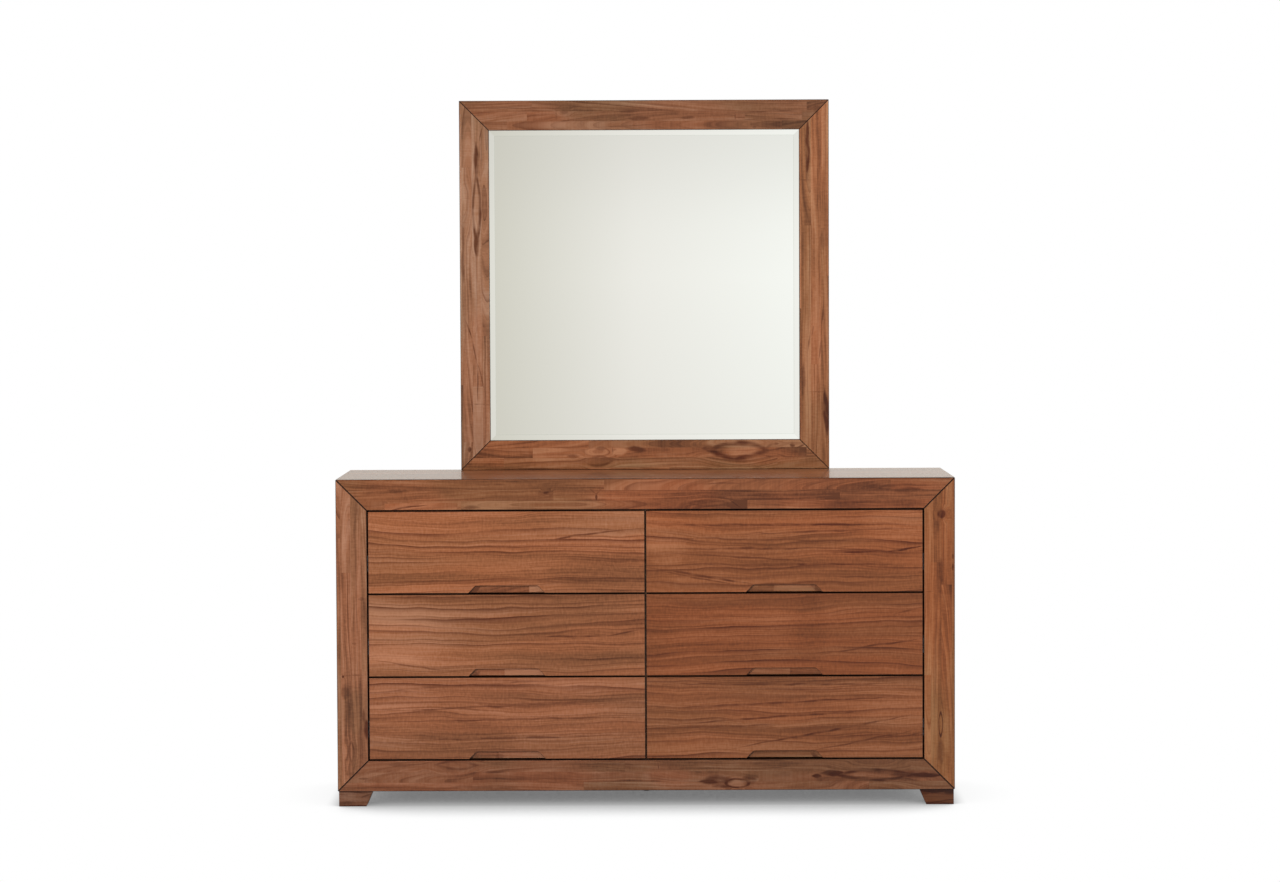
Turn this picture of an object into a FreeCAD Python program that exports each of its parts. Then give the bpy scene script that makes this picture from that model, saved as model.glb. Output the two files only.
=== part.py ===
import FreeCAD
import Part

import math
import os

# Dresser with six drawers and a square bevelled mirror.
#
# Millimetres.  +X is the viewer's right, +Y is towards the wall, +Z is up, and the
# origin is on the floor in the middle of the outer box.  The case is a mitred box
# behind a mitred face frame.  Two columns of drawers run on telescopic ball-bearing
# slides.  The mirror stands on the case and is held from behind by two posts.

# ------------------------------------------------------------------ sizes
# Case
case_width = 1600.0
case_depth = 450.0
case_height = 810.0              # from the feet to the top
board_thickness = 20.0
face_frame_width = 80.0
face_frame_thickness = 22.0
frame_arris = 1.0                # two of these make the V-groove of a mitre
back_thickness = 5.0
back_lap = 10.0                  # how far the back is let into each board
partition_thickness = 18.0
rear_rail_height = 80.0
rear_rail_thickness = 18.0
lower_rear_rail_drop = 330.0     # from the top of the case down to its middle
batten_height = 60.0

# Feet
foot_height = 40.0
foot_top_width = 88.0
foot_taper = 17.0                # taken off the two inner sides, at the floor
foot_side_inset = 2.5
foot_front_inset = 6.0
foot_arris = 1.0
leg_width = 50.0
leg_setback = 270.0              # middle of the centre leg, behind the front face
glide_radius = 10.0
glide_height = 6.0
glide_stem_radius = 3.0
glide_stem_length = 20.0

# Drawer fronts
drawer_rows = ("bottom", "middle", "top")
drawer_columns = {"left": -1, "right": 1}
drawer_gap = 3.0
front_thickness = 20.0
front_arris = 1.2

# Finger pull, routed into the lower edge of each front with a dovetail cutter
pull_width = 197.0               # of the mouth, at the lower edge of the front
pull_height = 18.5
pull_end_run = 18.0              # how far each end leans inwards over the height
pull_corner_radius = 9.0
pull_depth = 12.0
pull_undercut = 5.0              # the floor of the pocket is this much larger

# Drawer boxes
box_rise = 14.0                  # above the lower edge of the front
box_drop = 38.0                  # below the upper edge of the front
box_board_thickness = 12.0
box_rear_clearance = 3.0
tail_count = 4
tail_share = 0.62                # of one pitch, at the shoulder
tail_flare = 2.2                 # of each side of a tail, from shoulder to end
bottom_thickness = 5.0
bottom_groove_depth = 6.0
bottom_groove_rise = 12.0

# Slides: the section of each member is height, reach and sheet thickness
slide_space = 12.7               # between the case and the side of a drawer box
slide_sheet = 1.2
slide_height = 45.0
slide_reach = 11.0
slide_lip = 1.6                  # keeps the balls in the raceway
middle_standoff = 2.0            # from the case
middle_reach = 8.6
inner_reach = 8.0
outer_race = 4.0                 # room for the balls, outer to middle member
inner_race = 3.2                 # room for the balls, middle to inner member
race_play = 0.3
cage_width = 4.6
cage_length = 96.0
cage_end_margin = 6.0
slide_setback = 2.0              # behind the face frame
slide_end_clearance = 3.0
slide_rise = 62.0                # above the lower edge of the drawer box
slide_kept_in = 25.0             # of each slide, at full travel

# Mirror
mirror_width = 995.0
mirror_height = 995.0
mirror_face_width = 80.0
mirror_thickness = 28.0
mirror_lip = 12.0                # wood in front of the glass
rebate_width = 10.0
glass_thickness = 5.0
glass_edge = 2.5
glass_bevel = 23.0
glass_clearance = 2.0
glass_seat = 0.3
backing_thickness = 3.2
bead_width = 9.0
bead_thickness = 8.0

# Posts
post_width = 50.0
post_thickness = 18.0
post_inset = 5.0                 # from the side of the mirror
post_below = 400.0               # under the top of the case
post_above = 600.0               # over the top of the case
post_corner_radius = 12.0
post_screw_rises = (60.0, 540.0)
screw_radius = 2.25
screw_length = 36.0
screw_play = 0.1
screw_head_radius = 5.0
screw_head_height = 2.2

# ------------------------------------------------------------------ places
front_y = -(case_depth + post_thickness + screw_head_height) / 2
frame_back_y = front_y + face_frame_thickness
back_y = front_y + case_depth
back_panel_y = back_y - back_thickness
rear_rail_y = back_panel_y - rear_rail_thickness

case_bottom_z = foot_height
case_top_z = foot_height + case_height
case_middle_z = foot_height + case_height / 2
half_width = case_width / 2
inner_half = half_width - board_thickness
inner_bottom_z = case_bottom_z + board_thickness
inner_top_z = case_top_z - board_thickness

opening_half = half_width - face_frame_width
opening_bottom_z = case_bottom_z + face_frame_width
opening_height = case_height - 2 * face_frame_width
row_count = len(drawer_rows)
row_pitch = (opening_height - drawer_gap) / row_count
front_height = row_pitch - drawer_gap
front_near_x = drawer_gap / 2
front_far_x = opening_half - drawer_gap
front_middle_x = (front_near_x + front_far_x) / 2

box_near_x = partition_thickness / 2 + slide_space
box_far_x = opening_half - slide_space
box_front_y = front_y + front_thickness
box_back_y = rear_rail_y - box_rear_clearance
box_height = front_height - box_rise - box_drop

slide_front_y = frame_back_y + slide_setback
slide_length = rear_rail_y - slide_end_clearance - slide_front_y
slide_travel = slide_length - slide_kept_in
middle_height = slide_height - 2 * slide_sheet - 2 * outer_race
inner_height = middle_height - 2 * slide_sheet - 2 * inner_race

mirror_front_y = back_y - mirror_thickness
mirror_middle_z = case_top_z + mirror_height / 2
lip_y = mirror_front_y + mirror_lip
glass_overlap = rebate_width - glass_clearance
glass_half_width = mirror_width / 2 - mirror_face_width + glass_overlap
glass_half_height = mirror_height / 2 - mirror_face_width + glass_overlap
bevel_rise = glass_thickness - glass_edge
glass_back_y = lip_y + glass_seat + glass_edge + bevel_rise * glass_overlap / glass_bevel
glass_front_y = glass_back_y - glass_thickness
backing_back_y = glass_back_y + backing_thickness

post_middle_x = mirror_width / 2 - post_inset - post_width / 2
upper_rear_rail_z = inner_top_z - rear_rail_height / 2
lower_rear_rail_z = case_top_z - lower_rear_rail_drop
rear_rail_middles = (upper_rear_rail_z, lower_rear_rail_z)


# ------------------------------------------------------------------ helpers
def at(x, y, z):
    return FreeCAD.Vector(x, y, z)


def block(x0, x1, y0, y1, z0, z1):
    """A rectangular solid between two corners; each pair may come in either order."""
    low = at(min(x0, x1), min(y0, y1), min(z0, z1))
    return Part.makeBox(abs(x1 - x0), abs(y1 - y0), abs(z1 - z0), low)


def closed(points):
    return Part.makePolygon(points + [points[0]])


def prism(points, run):
    """A flat outline pushed along a vector."""
    return Part.Face(closed(points)).extrude(run)


def upright_rectangle(half_w, half_h, y):
    return closed([at(-half_w, y, -half_h), at(half_w, y, -half_h),
                   at(half_w, y, half_h), at(-half_w, y, half_h)])


def edges_where(solid, test):
    """The edges of a solid whose corners all pass a test."""
    return [edge for edge in solid.Edges if all(test(corner.Point) for corner in edge.Vertexes)]


def edges_at_y(solid, y):
    return edges_where(solid, lambda point: abs(point.y - y) < 1e-6)


def rod(x, y0, y1, z, radius):
    """A round bar along Y."""
    return Part.makeCylinder(radius, y1 - y0, at(x, y0, z), at(0, 1, 0))


def group(solids):
    return Part.makeCompound(solids)


# ------------------------------------------------------------------ mitred frames
def mitred_member(length, width, thickness, arris):
    """A member along X: outer edge at Z 0, inner edge below it, front face at Y 0."""
    half = length / 2
    outline = [at(-half, 0, 0), at(half, 0, 0), at(half - width, 0, -width), at(width - half, 0, -width)]
    member = prism(outline, at(0, thickness, 0))
    if arris:
        member = member.makeChamfer(arris, edges_at_y(member, 0))
    return member


def mitred_frame(width, height, face_width, thickness, front, middle_z, arris=0.0):
    """Four mitred members round an opening, by the name of their side."""
    members = {}
    for side, turn in {"top": 0, "right": 90, "bottom": 180, "left": -90}.items():
        upright = side in ("left", "right")
        length, across = (height, width) if upright else (width, height)
        member = mitred_member(length, face_width, thickness, arris)
        member.translate(at(0, 0, across / 2))
        member.rotate(at(0, 0, 0), at(0, 1, 0), turn)
        member.translate(at(0, front, middle_z))
        members[side] = member
    return members


# ------------------------------------------------------------------ case
def case_boards():
    boards = mitred_frame(case_width, case_height, board_thickness,
                          case_depth - face_frame_thickness, frame_back_y, case_middle_z)
    return {side: board.cut(back_panel()) for side, board in boards.items()}


def face_frame():
    return mitred_frame(case_width, case_height, face_frame_width,
                        face_frame_thickness, front_y, case_middle_z, frame_arris)


def back_panel():
    reach = inner_half + back_lap
    return block(-reach, reach, back_panel_y, back_y,
                 inner_bottom_z - back_lap, inner_top_z + back_lap)


def rear_rail(middle_z):
    half = rear_rail_height / 2
    return block(-inner_half, inner_half, rear_rail_y, back_panel_y, middle_z - half, middle_z + half)


def centre_partition():
    """The board between the columns, notched round the rear rails."""
    half = partition_thickness / 2
    board = block(-half, half, frame_back_y, back_panel_y, inner_bottom_z, inner_top_z)
    return board.cut([rear_rail(middle) for middle in rear_rail_middles])


def batten(row, side):
    """A block that brings an outer slide in line with the opening of the face frame."""
    half = batten_height / 2
    return block(side * opening_half, side * inner_half, frame_back_y, rear_rail_y,
                 slide_z(row) - half, slide_z(row) + half)


# ------------------------------------------------------------------ feet
def foot(side, end):
    """A block foot; side is -1 left or 1 right, end is -1 front or 1 rear."""
    outer_x = side * (half_width - foot_side_inset)
    outer_y = front_y + foot_front_inset if end < 0 else back_y - foot_front_inset
    corners = [(0, 0), (foot_top_width - foot_taper, 0), (foot_top_width, foot_height), (0, foot_height)]
    across = prism([at(outer_x - side * reach, outer_y, z) for reach, z in corners],
                   at(0, -end * foot_top_width, 0))
    along = prism([at(outer_x, outer_y - end * reach, z) for reach, z in corners],
                  at(-side * foot_top_width, 0, 0))
    body = across.common(along)
    return body.makeChamfer(foot_arris, edges_where(body, lambda point: abs(point.z) < 1e-6))


def glide_stem(play=0.0):
    return Part.makeCylinder(glide_stem_radius + play, glide_stem_length + play,
                             at(0, front_y + leg_setback, glide_height))


def centre_glide():
    """A levelling glide: a disc on the floor with its stem up in the leg."""
    disc = Part.makeCylinder(glide_radius, glide_height, at(0, front_y + leg_setback, 0))
    return disc.fuse(glide_stem())


def centre_leg():
    middle_y, half = front_y + leg_setback, leg_width / 2
    leg = block(-half, half, middle_y - half, middle_y + half, glide_height, case_bottom_z)
    return leg.cut(glide_stem(screw_play))


# ------------------------------------------------------------------ drawer places
def front_z(row):
    """The lower edge of a drawer front."""
    return opening_bottom_z + drawer_gap + row * row_pitch


def box_z(row):
    return front_z(row) + box_rise


def slide_z(row):
    return box_z(row) + slide_rise


# ------------------------------------------------------------------ drawer fronts
def pull_outline(middle_x, lower_z, y, grow):
    """The finger pull at one depth: sloping ends, round upper corners, open below."""
    top_half = pull_width / 2 - pull_end_run + grow
    top_z = lower_z + pull_height + grow
    below_z = lower_z - pull_height
    below_half = top_half + pull_end_run * (top_z - below_z) / pull_height
    slope = math.atan2(pull_height, pull_end_run)
    radius = pull_corner_radius + grow
    tangent = radius * math.tan(slope / 2)

    def point(side, half, z):
        return at(middle_x + side * half, y, z)

    def end_line(side):
        start = point(side, below_half, below_z)
        stop = point(side, top_half + tangent * math.cos(slope), top_z - tangent * math.sin(slope))
        return start, stop

    def corner(side):
        start = end_line(side)[1]
        centre_half, centre_z = top_half - tangent, top_z - radius
        lean = math.pi / 2 - slope / 2
        middle = point(side, centre_half + radius * math.cos(lean), centre_z + radius * math.sin(lean))
        return Part.Arc(start, middle, point(side, centre_half, top_z)).toShape()

    edges = [Part.makeLine(*end_line(-1)), corner(-1),
             Part.makeLine(point(-1, top_half - tangent, top_z), point(1, top_half - tangent, top_z)),
             corner(1), Part.makeLine(*reversed(end_line(1))),
             Part.makeLine(point(1, below_half, below_z), point(-1, below_half, below_z))]
    return Part.Wire(edges)


def finger_pull(row, side):
    middle_x = side * front_middle_x
    mouth = pull_outline(middle_x, front_z(row), front_y, 0.0)
    floor = pull_outline(middle_x, front_z(row), front_y + pull_depth, pull_undercut)
    return Part.makeLoft([mouth, floor], True, True)


def drawer_front(row, side):
    front = block(side * front_near_x, side * front_far_x, front_y, front_y + front_thickness,
                  front_z(row), front_z(row) + front_height)
    front = front.makeChamfer(front_arris, edges_at_y(front, front_y))
    return front.cut(finger_pull(row, side))


# ------------------------------------------------------------------ drawer boxes
def drawer_bottom(row, side):
    """The bottom, let into a groove on all four sides."""
    margin = box_board_thickness - bottom_groove_depth
    low_z = box_z(row) + bottom_groove_rise
    return block(side * (box_near_x + margin), side * (box_far_x - margin),
                 box_front_y + margin, box_back_y - margin, low_z, low_z + bottom_thickness)


def box_tails(row, side, outer_half_x, inward):
    """The dovetails at both ends of one side board, flaring towards each end."""
    pitch = box_height / tail_count
    root = pitch * tail_share / 2
    tails = []
    for end_y, outward in ((box_front_y, -1), (box_back_y, 1)):
        shoulder_y = end_y - outward * box_board_thickness
        for index in range(tail_count):
            z = box_z(row) + (index + 0.5) * pitch
            x = side * outer_half_x
            outline = [at(x, shoulder_y, z - root), at(x, end_y, z - root - tail_flare),
                       at(x, end_y, z + root + tail_flare), at(x, shoulder_y, z + root)]
            tails.append(prism(outline, at(side * inward * box_board_thickness, 0, 0)))
    return tails


def drawer_box(row, side):
    """Two sides and two ends, joined by through dovetails."""
    low_z, high_z, thick = box_z(row), box_z(row) + box_height, box_board_thickness
    bottom = drawer_bottom(row, side)
    sides, all_tails = [], []
    for outer_x, inward in ((box_near_x, 1), (box_far_x, -1)):
        tails = box_tails(row, side, outer_x, inward)
        board = block(side * outer_x, side * (outer_x + inward * thick),
                      box_front_y + thick, box_back_y - thick, low_z, high_z)
        sides.append(board.fuse(tails).removeSplitter().cut(bottom))
        all_tails += tails
    ends = [block(side * box_near_x, side * box_far_x, start, start + thick, low_z, high_z)
            for start in (box_front_y, box_back_y - thick)]
    return group(sides + [end.cut(all_tails).cut(bottom) for end in ends])


# ------------------------------------------------------------------ slides
def channel(height, reach, web_at, towards, lip):
    """Half a C section as (distance from the case, height) points, for the upper flange."""
    outer, inner = height / 2, height / 2 - slide_sheet
    tip = web_at + towards * reach
    face = web_at + towards * slide_sheet
    bend = towards * slide_sheet
    lipped = [(tip - bend, outer), (tip, outer - slide_sheet), (tip, inner - lip),
              (tip - bend, inner - lip), (tip - bend, inner)] if lip else [(tip, outer), (tip, inner)]
    return [(web_at, outer - slide_sheet), (web_at + bend, outer)] + lipped + [(face + bend / 2, inner),
                                                                             (face, inner - slide_sheet / 2)]


def slide_member(half_section, row, wall_x, inward):
    """A C section along the slide; the wall carries it and inward points at the drawer."""
    section = half_section + [(u, -v) for u, v in reversed(half_section)]
    points = [at(wall_x + inward * u, slide_front_y, slide_z(row) + v) for u, v in section]
    return prism(points, at(0, slide_length, 0))


def slide_walls(side):
    """The two walls that carry a drawer's slides, as X and the direction to the drawer."""
    return ((side * partition_thickness / 2, side), (side * opening_half, -side))


def outer_member(row, wall_x, inward):
    return slide_member(channel(slide_height, slide_reach, 0, 1, slide_lip), row, wall_x, inward)


def middle_member(row, wall_x, inward):
    return slide_member(channel(middle_height, middle_reach, middle_standoff, 1, 0), row, wall_x, inward)


def inner_member(row, wall_x, inward):
    return slide_member(channel(inner_height, inner_reach, slide_space, -1, 0), row, wall_x, inward)


def ball_cage(row, wall_x, inward, start_y, seat, race, sign):
    """A strip that holds one row of balls on the middle member, clear of the next raceway."""
    u0 = middle_standoff + (middle_reach - cage_width) / 2
    z0 = slide_z(row) + sign * seat
    z1 = z0 + sign * race
    return block(wall_x + inward * u0, wall_x + inward * (u0 + cage_width),
                 start_y, start_y + cage_length, z0, z1)


def middle_members(row, side):
    """Both middle members of a drawer with their ball cages."""
    outer_start = slide_front_y + slide_length - cage_end_margin - cage_length
    inner_start = slide_front_y + cage_end_margin
    solids = []
    for wall_x, inward in slide_walls(side):
        solids.append(middle_member(row, wall_x, inward))
        for sign in (-1, 1):
            solids.append(ball_cage(row, wall_x, inward, outer_start,
                                    middle_height / 2, outer_race - race_play, sign))
            solids.append(ball_cage(row, wall_x, inward, inner_start,
                                    middle_height / 2 - slide_sheet, race_play - inner_race, sign))
    return group(solids)


def inner_members(row, side):
    return group([inner_member(row, wall_x, inward) for wall_x, inward in slide_walls(side)])


def outer_members():
    return group([outer_member(row, wall_x, inward)
                  for row in range(row_count) for side in drawer_columns.values()
                  for wall_x, inward in slide_walls(side)])


# ------------------------------------------------------------------ posts and screws
def screw_places():
    """X and Z of every post screw: into the mirror frame, then into the rear rails."""
    heights = [case_top_z + rise for rise in post_screw_rises] + list(rear_rail_middles)
    return [(side * post_middle_x, z) for side in (-1, 1) for z in heights]


def post_screw(x, z):
    """A flat-topped screw from the back of a post."""
    seat_y = back_y + post_thickness
    head = rod(x, seat_y, seat_y + screw_head_height, z, screw_head_radius)
    return head.fuse(rod(x, seat_y - screw_length, seat_y, z, screw_radius))


def drilled(solid):
    """The solid with a hole round each screw that passes into it."""
    seat_y = back_y + post_thickness
    holes = [rod(x, seat_y - screw_length - screw_play, seat_y, z, screw_radius + screw_play)
             for x, z in screw_places()]
    return solid.cut([hole for hole in holes if hole.common(solid).Volume > 0])


def mirror_post(side):
    half = post_width / 2
    top_z = case_top_z + post_above
    post = block(side * post_middle_x - half, side * post_middle_x + half,
                 back_y, back_y + post_thickness, case_top_z - post_below, top_z)
    across = edges_where(post, lambda point: abs(point.z - top_z) < 1e-6)
    corners = [edge for edge in across if abs(edge.Length - post_thickness) < 1e-6]
    return drilled(post.makeFillet(post_corner_radius, corners))


# ------------------------------------------------------------------ mirror
def mirror_frame():
    """The four members, with a rebate for the glass along the inner back edge."""
    members = mitred_frame(mirror_width, mirror_height, mirror_face_width,
                           mirror_thickness, mirror_front_y, mirror_middle_z, frame_arris)
    half_w = mirror_width / 2 - mirror_face_width + rebate_width
    half_h = mirror_height / 2 - mirror_face_width + rebate_width
    rebate = block(-half_w, half_w, lip_y, back_y, mirror_middle_z - half_h, mirror_middle_z + half_h)
    return {side: drilled(member.cut(rebate)) for side, member in members.items()}


def mirror_glass():
    """A plate with a wide bevel round its front."""
    step = glass_front_y + bevel_rise
    slab = block(-glass_half_width, glass_half_width, step, glass_back_y,
                 -glass_half_height, glass_half_height)
    bevel = Part.makeLoft([upright_rectangle(glass_half_width, glass_half_height, step),
                           upright_rectangle(glass_half_width - glass_bevel,
                                             glass_half_height - glass_bevel, glass_front_y)],
                          True, True)
    plate = slab.fuse(bevel)
    plate.translate(at(0, 0, mirror_middle_z))
    return plate


def mirror_backing():
    return block(-glass_half_width, glass_half_width, glass_back_y, backing_back_y,
                 mirror_middle_z - glass_half_height, mirror_middle_z + glass_half_height)


def backing_beads():
    """Four mitred beads in the rebate that hold the backing and the glass."""
    margin = mirror_face_width - rebate_width
    beads = mitred_frame(mirror_width - 2 * margin, mirror_height - 2 * margin, bead_width,
                         bead_thickness, backing_back_y, mirror_middle_z)
    return group(list(beads.values()))


# ------------------------------------------------------------------ assembly
def drawer_parts():
    parts = {}
    for row, row_name in enumerate(drawer_rows):
        for column_name, side in drawer_columns.items():
            name = f"{row_name}_{column_name}"
            parts[f"{name}_drawer_front"] = drawer_front(row, side)
            parts[f"{name}_drawer_box"] = drawer_box(row, side)
            parts[f"{name}_drawer_bottom"] = drawer_bottom(row, side)
            parts[f"{name}_slide_inner"] = inner_members(row, side)
            parts[f"{name}_slide_middle"] = middle_members(row, side)
    return parts


def case_parts():
    rows, sides = range(row_count), drawer_columns.values()
    parts = {f"case_{side}": board for side, board in case_boards().items()}
    parts.update({f"face_frame_{side}": member for side, member in face_frame().items()})
    parts["case_back"] = drilled(back_panel())
    parts["rear_rails"] = group([drilled(rear_rail(middle)) for middle in rear_rail_middles])
    parts["centre_partition"] = centre_partition()
    parts["slide_battens"] = group([batten(row, side) for row in rows for side in sides])
    parts["slide_outers"] = outer_members()
    for side_name, side in drawer_columns.items():
        parts[f"front_{side_name}_foot"] = foot(side, -1)
        parts[f"rear_{side_name}_foot"] = foot(side, 1)
    parts["centre_leg"] = centre_leg()
    parts["centre_glide"] = centre_glide()
    return parts


def mirror_parts():
    parts = {f"mirror_frame_{side}": member for side, member in mirror_frame().items()}
    parts["mirror_glass"] = mirror_glass()
    parts["mirror_backing"] = mirror_backing()
    parts["backing_beads"] = backing_beads()
    parts["left_mirror_post"] = mirror_post(-1)
    parts["right_mirror_post"] = mirror_post(1)
    parts["post_screws"] = group([post_screw(x, z) for x, z in screw_places()])
    return parts


os.makedirs("parts", exist_ok=True)
for node, shape in {**case_parts(), **drawer_parts(), **mirror_parts()}.items():
    shape.exportStep(f"parts/{node}.step")
    print(node, len(shape.Solids), shape.isValid(), round(shape.Volume / 1e3), "cm3")
print("slide travel", slide_travel)
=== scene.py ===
import math
import random

import bmesh
import bpy
from mathutils import Matrix, Vector


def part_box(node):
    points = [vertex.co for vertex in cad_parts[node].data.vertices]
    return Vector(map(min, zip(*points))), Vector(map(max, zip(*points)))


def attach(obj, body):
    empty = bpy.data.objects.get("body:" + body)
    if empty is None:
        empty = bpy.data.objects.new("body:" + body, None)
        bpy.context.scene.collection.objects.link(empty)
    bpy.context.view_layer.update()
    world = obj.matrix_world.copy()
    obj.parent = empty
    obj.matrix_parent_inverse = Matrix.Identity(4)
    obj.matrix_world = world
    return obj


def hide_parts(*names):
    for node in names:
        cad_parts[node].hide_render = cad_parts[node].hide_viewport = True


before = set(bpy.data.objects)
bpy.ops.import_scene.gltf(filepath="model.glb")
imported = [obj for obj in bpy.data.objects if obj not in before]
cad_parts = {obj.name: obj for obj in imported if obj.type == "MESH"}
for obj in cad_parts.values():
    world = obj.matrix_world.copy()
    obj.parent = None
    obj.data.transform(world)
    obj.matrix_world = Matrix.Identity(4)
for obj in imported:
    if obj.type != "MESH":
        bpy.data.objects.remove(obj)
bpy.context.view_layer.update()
print("frame loaded:", len(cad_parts), "nodes")

frameLow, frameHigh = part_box("face_frame_top")
frontY = frameLow.y
caseTop = frameHigh.z
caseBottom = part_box("face_frame_bottom")[0].z
caseMiddle = (caseTop + caseBottom) / 2
rows = ("bottom", "middle", "top")
columns = ("left", "right")
sideTurns = {"top": 0, "right": 90, "bottom": 180, "left": -90}


class nodeValue:  # what a node gives: + - * / ** and abs make the next math node
    def __init__(self, socket):
        self.socket = socket
        self.tree = socket.id_data

    def __add__(self, other):
        return calc("ADD", self, other)

    def __sub__(self, other):
        return calc("SUBTRACT", self, other)

    def __mul__(self, other):
        return calc("MULTIPLY", self, other)

    def __truediv__(self, other):
        return calc("DIVIDE", self, other)

    def __pow__(self, other):
        return calc("POWER", self, other)

    def __abs__(self):
        return calc("ABSOLUTE", self)


def setInputs(node, sockets):  # what comes from a node is linked, anything else is set
    for key, value in sockets.items():
        if isinstance(value, nodeValue):
            node.id_data.links.new(value.socket, node.inputs[key])
        else:
            node.inputs[key].default_value = value


def addNode(tree, kind, sockets=None, **settings):
    made = tree.nodes.new(kind)
    for key, value in settings.items():
        setattr(made, key, value)
    setInputs(made, sockets or {})
    return made


def outOf(tree, kind, sockets=None, output=0, **settings):
    return nodeValue(addNode(tree, kind, sockets, **settings).outputs[output])


def treeOf(*values):
    return next(value.tree for value in values if isinstance(value, nodeValue))


def calc(operation, *values, clamp=False):
    sockets = dict(enumerate(values))
    return outOf(treeOf(*values), "ShaderNodeMath", sockets, operation=operation, use_clamp=clamp)


def larger(first, second):
    return calc("MAXIMUM", first, second)


def pack(x, y, z=0.0):
    return outOf(treeOf(x, y), "ShaderNodeCombineXYZ", {0: x, 1: y, 2: z})


def split(vector, kind="XYZ"):
    parts = addNode(vector.tree, "ShaderNodeSeparate" + kind, {0: vector}).outputs
    return [nodeValue(part) for part in parts[:3]]


def placeOf(tree, output="Object"):
    return outOf(tree, "ShaderNodeTexCoord", output=output)


def layerOf(tree, name, output="Vector"):
    return outOf(tree, "ShaderNodeAttribute", output=output, attribute_name=name)


def lengthOf(vector):
    return outOf(vector.tree, "ShaderNodeVectorMath", {0: vector}, "Value", operation="LENGTH")


def noise(vector, scale=1.0, detail=2.0):
    return outOf(vector.tree, "ShaderNodeTexNoise", {"Vector": vector, "Scale": scale, "Detail": detail})


def noiseOver(along, across, pitches):  # how often along and across, how fine and, if any, which layer
    often, wide, detail, *layer = pitches
    return noise(pack(along * often, across * wide, sum(layer)), detail=detail)


def chanceOf(number):
    return outOf(number.tree, "ShaderNodeTexWhiteNoise", {"W": number}, noise_dimensions="1D")


def mixColours(factor, first, second, blend="MIX"):
    tree, sockets = treeOf(factor, first, second), {0: factor, 6: first, 7: second}
    return outOf(tree, "ShaderNodeMix", sockets, 2, data_type="RGBA", blend_type=blend)


def ramp(factor, stops):
    made = addNode(factor.tree, "ShaderNodeValToRGB", {0: factor})
    while len(made.color_ramp.elements) < len(stops):
        made.color_ramp.elements.new(0.5)
    for element, (place, colour) in zip(made.color_ramp.elements, stops):
        element.position = place
        element.color = (*colour, 1)
    return nodeValue(made.outputs[0])


def rangeOf(value, low, high, toLow=0.0, toHigh=1.0, smooth=True):
    return outOf(value.tree, "ShaderNodeMapRange", {0: value, 1: low, 2: high, 3: toLow, 4: toHigh},
                 interpolation_type="SMOOTHSTEP" if smooth else "LINEAR")


def bumpOf(height, strength, distance):
    sockets = {"Height": height, "Strength": strength, "Distance": distance}
    return outOf(height.tree, "ShaderNodeBump", sockets)


def newMaterial(name, sockets):
    made = bpy.data.materials.new(name)
    made.use_nodes = True
    surface = made.node_tree.nodes["Principled BSDF"]
    setInputs(surface, sockets)
    return made, made.node_tree, surface


def link(name, data):
    made = bpy.data.objects.new(name, data)
    bpy.context.scene.collection.objects.link(made)
    return made


# woods: pitches and sizes in metres, colours as they look in plain light
# the glaze colour is what eased edges, mitres, gap sides and undersides turn to: painted shade, partly a
# real glaze
stainLook = {"stave": None, "grey": (0.86, 0.92, 0.94, 1), "red": (1.07, 0.96, 0.91, 1),
             "glaze": (0.020, 0.008, 0.005, 1)}
plainLook = {"stave": None, "sharp": (5.0, 4.0), "patch": 0.9, "streak": 0.7, "fibre": 0.4, "cloud": 0.15,
             "fleck": 0.35, "grey": (0.94, 0.97, 1.00, 1), "red": (1, 1, 1, 1),
             "glaze": (0.250, 0.150, 0.080, 1)}
woodLooks = {
    "veneerWood": {
        **stainLook, "pitches": (0.0190, 0.0070), "lines": (0.86, 0.60), "sharp": (3.6, 3.2),
        "wave": 0.019, "patch": 1.05, "streak": 0.75, "fibre": 0.50, "cloud": 0.15, "fleck": 0.48,
        "dark": (0.150, 0.046, 0.015), "mid": (0.323, 0.1105, 0.042), "light": (0.468, 0.197, 0.099)},
    "staveWood": {
        **stainLook, "stave": (0.74, 0.0268), "pitches": (0.0110, 0.0045), "lines": (0.56, 0.32),
        "sharp": (3.6, 3.0), "wave": 0.008, "patch": 1.7, "streak": 1.1, "fibre": 0.42, "cloud": 0.85,
        "fleck": 0.38, "grey": (0.84, 0.92, 0.90, 1),
        "dark": (0.120, 0.039, 0.015), "mid": (0.291, 0.107, 0.044), "light": (0.412, 0.192, 0.100)},
    "plainWood": {
        **plainLook, "pitches": (0.0140, 0.0050), "lines": (0.50, 0.30), "wave": 0.010, "patch": 1.2,
        "streak": 0.9, "fibre": 0.5, "grey": (0.90, 0.95, 1.00, 1), "glaze": (0.060, 0.030, 0.018, 1),
        "dark": (0.150, 0.072, 0.036), "mid": (0.300, 0.155, 0.082), "light": (0.420, 0.240, 0.135)},
    "boxWood": {
        **plainLook, "pitches": (0.0110, 0.0036), "lines": (0.35, 0.20), "wave": 0.012,
        "dark": (0.340, 0.200, 0.115), "mid": (0.575, 0.385, 0.245), "light": (0.710, 0.520, 0.360)},
    "boxPly": {
        **plainLook, "pitches": (0.0240, 0.0060), "lines": (0.30, 0.14), "wave": 0.030, "streak": 0.6,
        "dark": (0.390, 0.255, 0.160), "mid": (0.610, 0.435, 0.290), "light": (0.730, 0.560, 0.400)},
    "backBoard": {
        **plainLook, "pitches": (0.0300, 0.0080), "lines": (0.35, 0.18), "wave": 0.040, "patch": 1.0,
        "grey": (0.90, 0.95, 1.00, 1), "glaze": (0.080, 0.045, 0.026, 1),
        "dark": (0.175, 0.093, 0.052), "mid": (0.325, 0.184, 0.106), "light": (0.400, 0.255, 0.165)},
}
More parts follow.
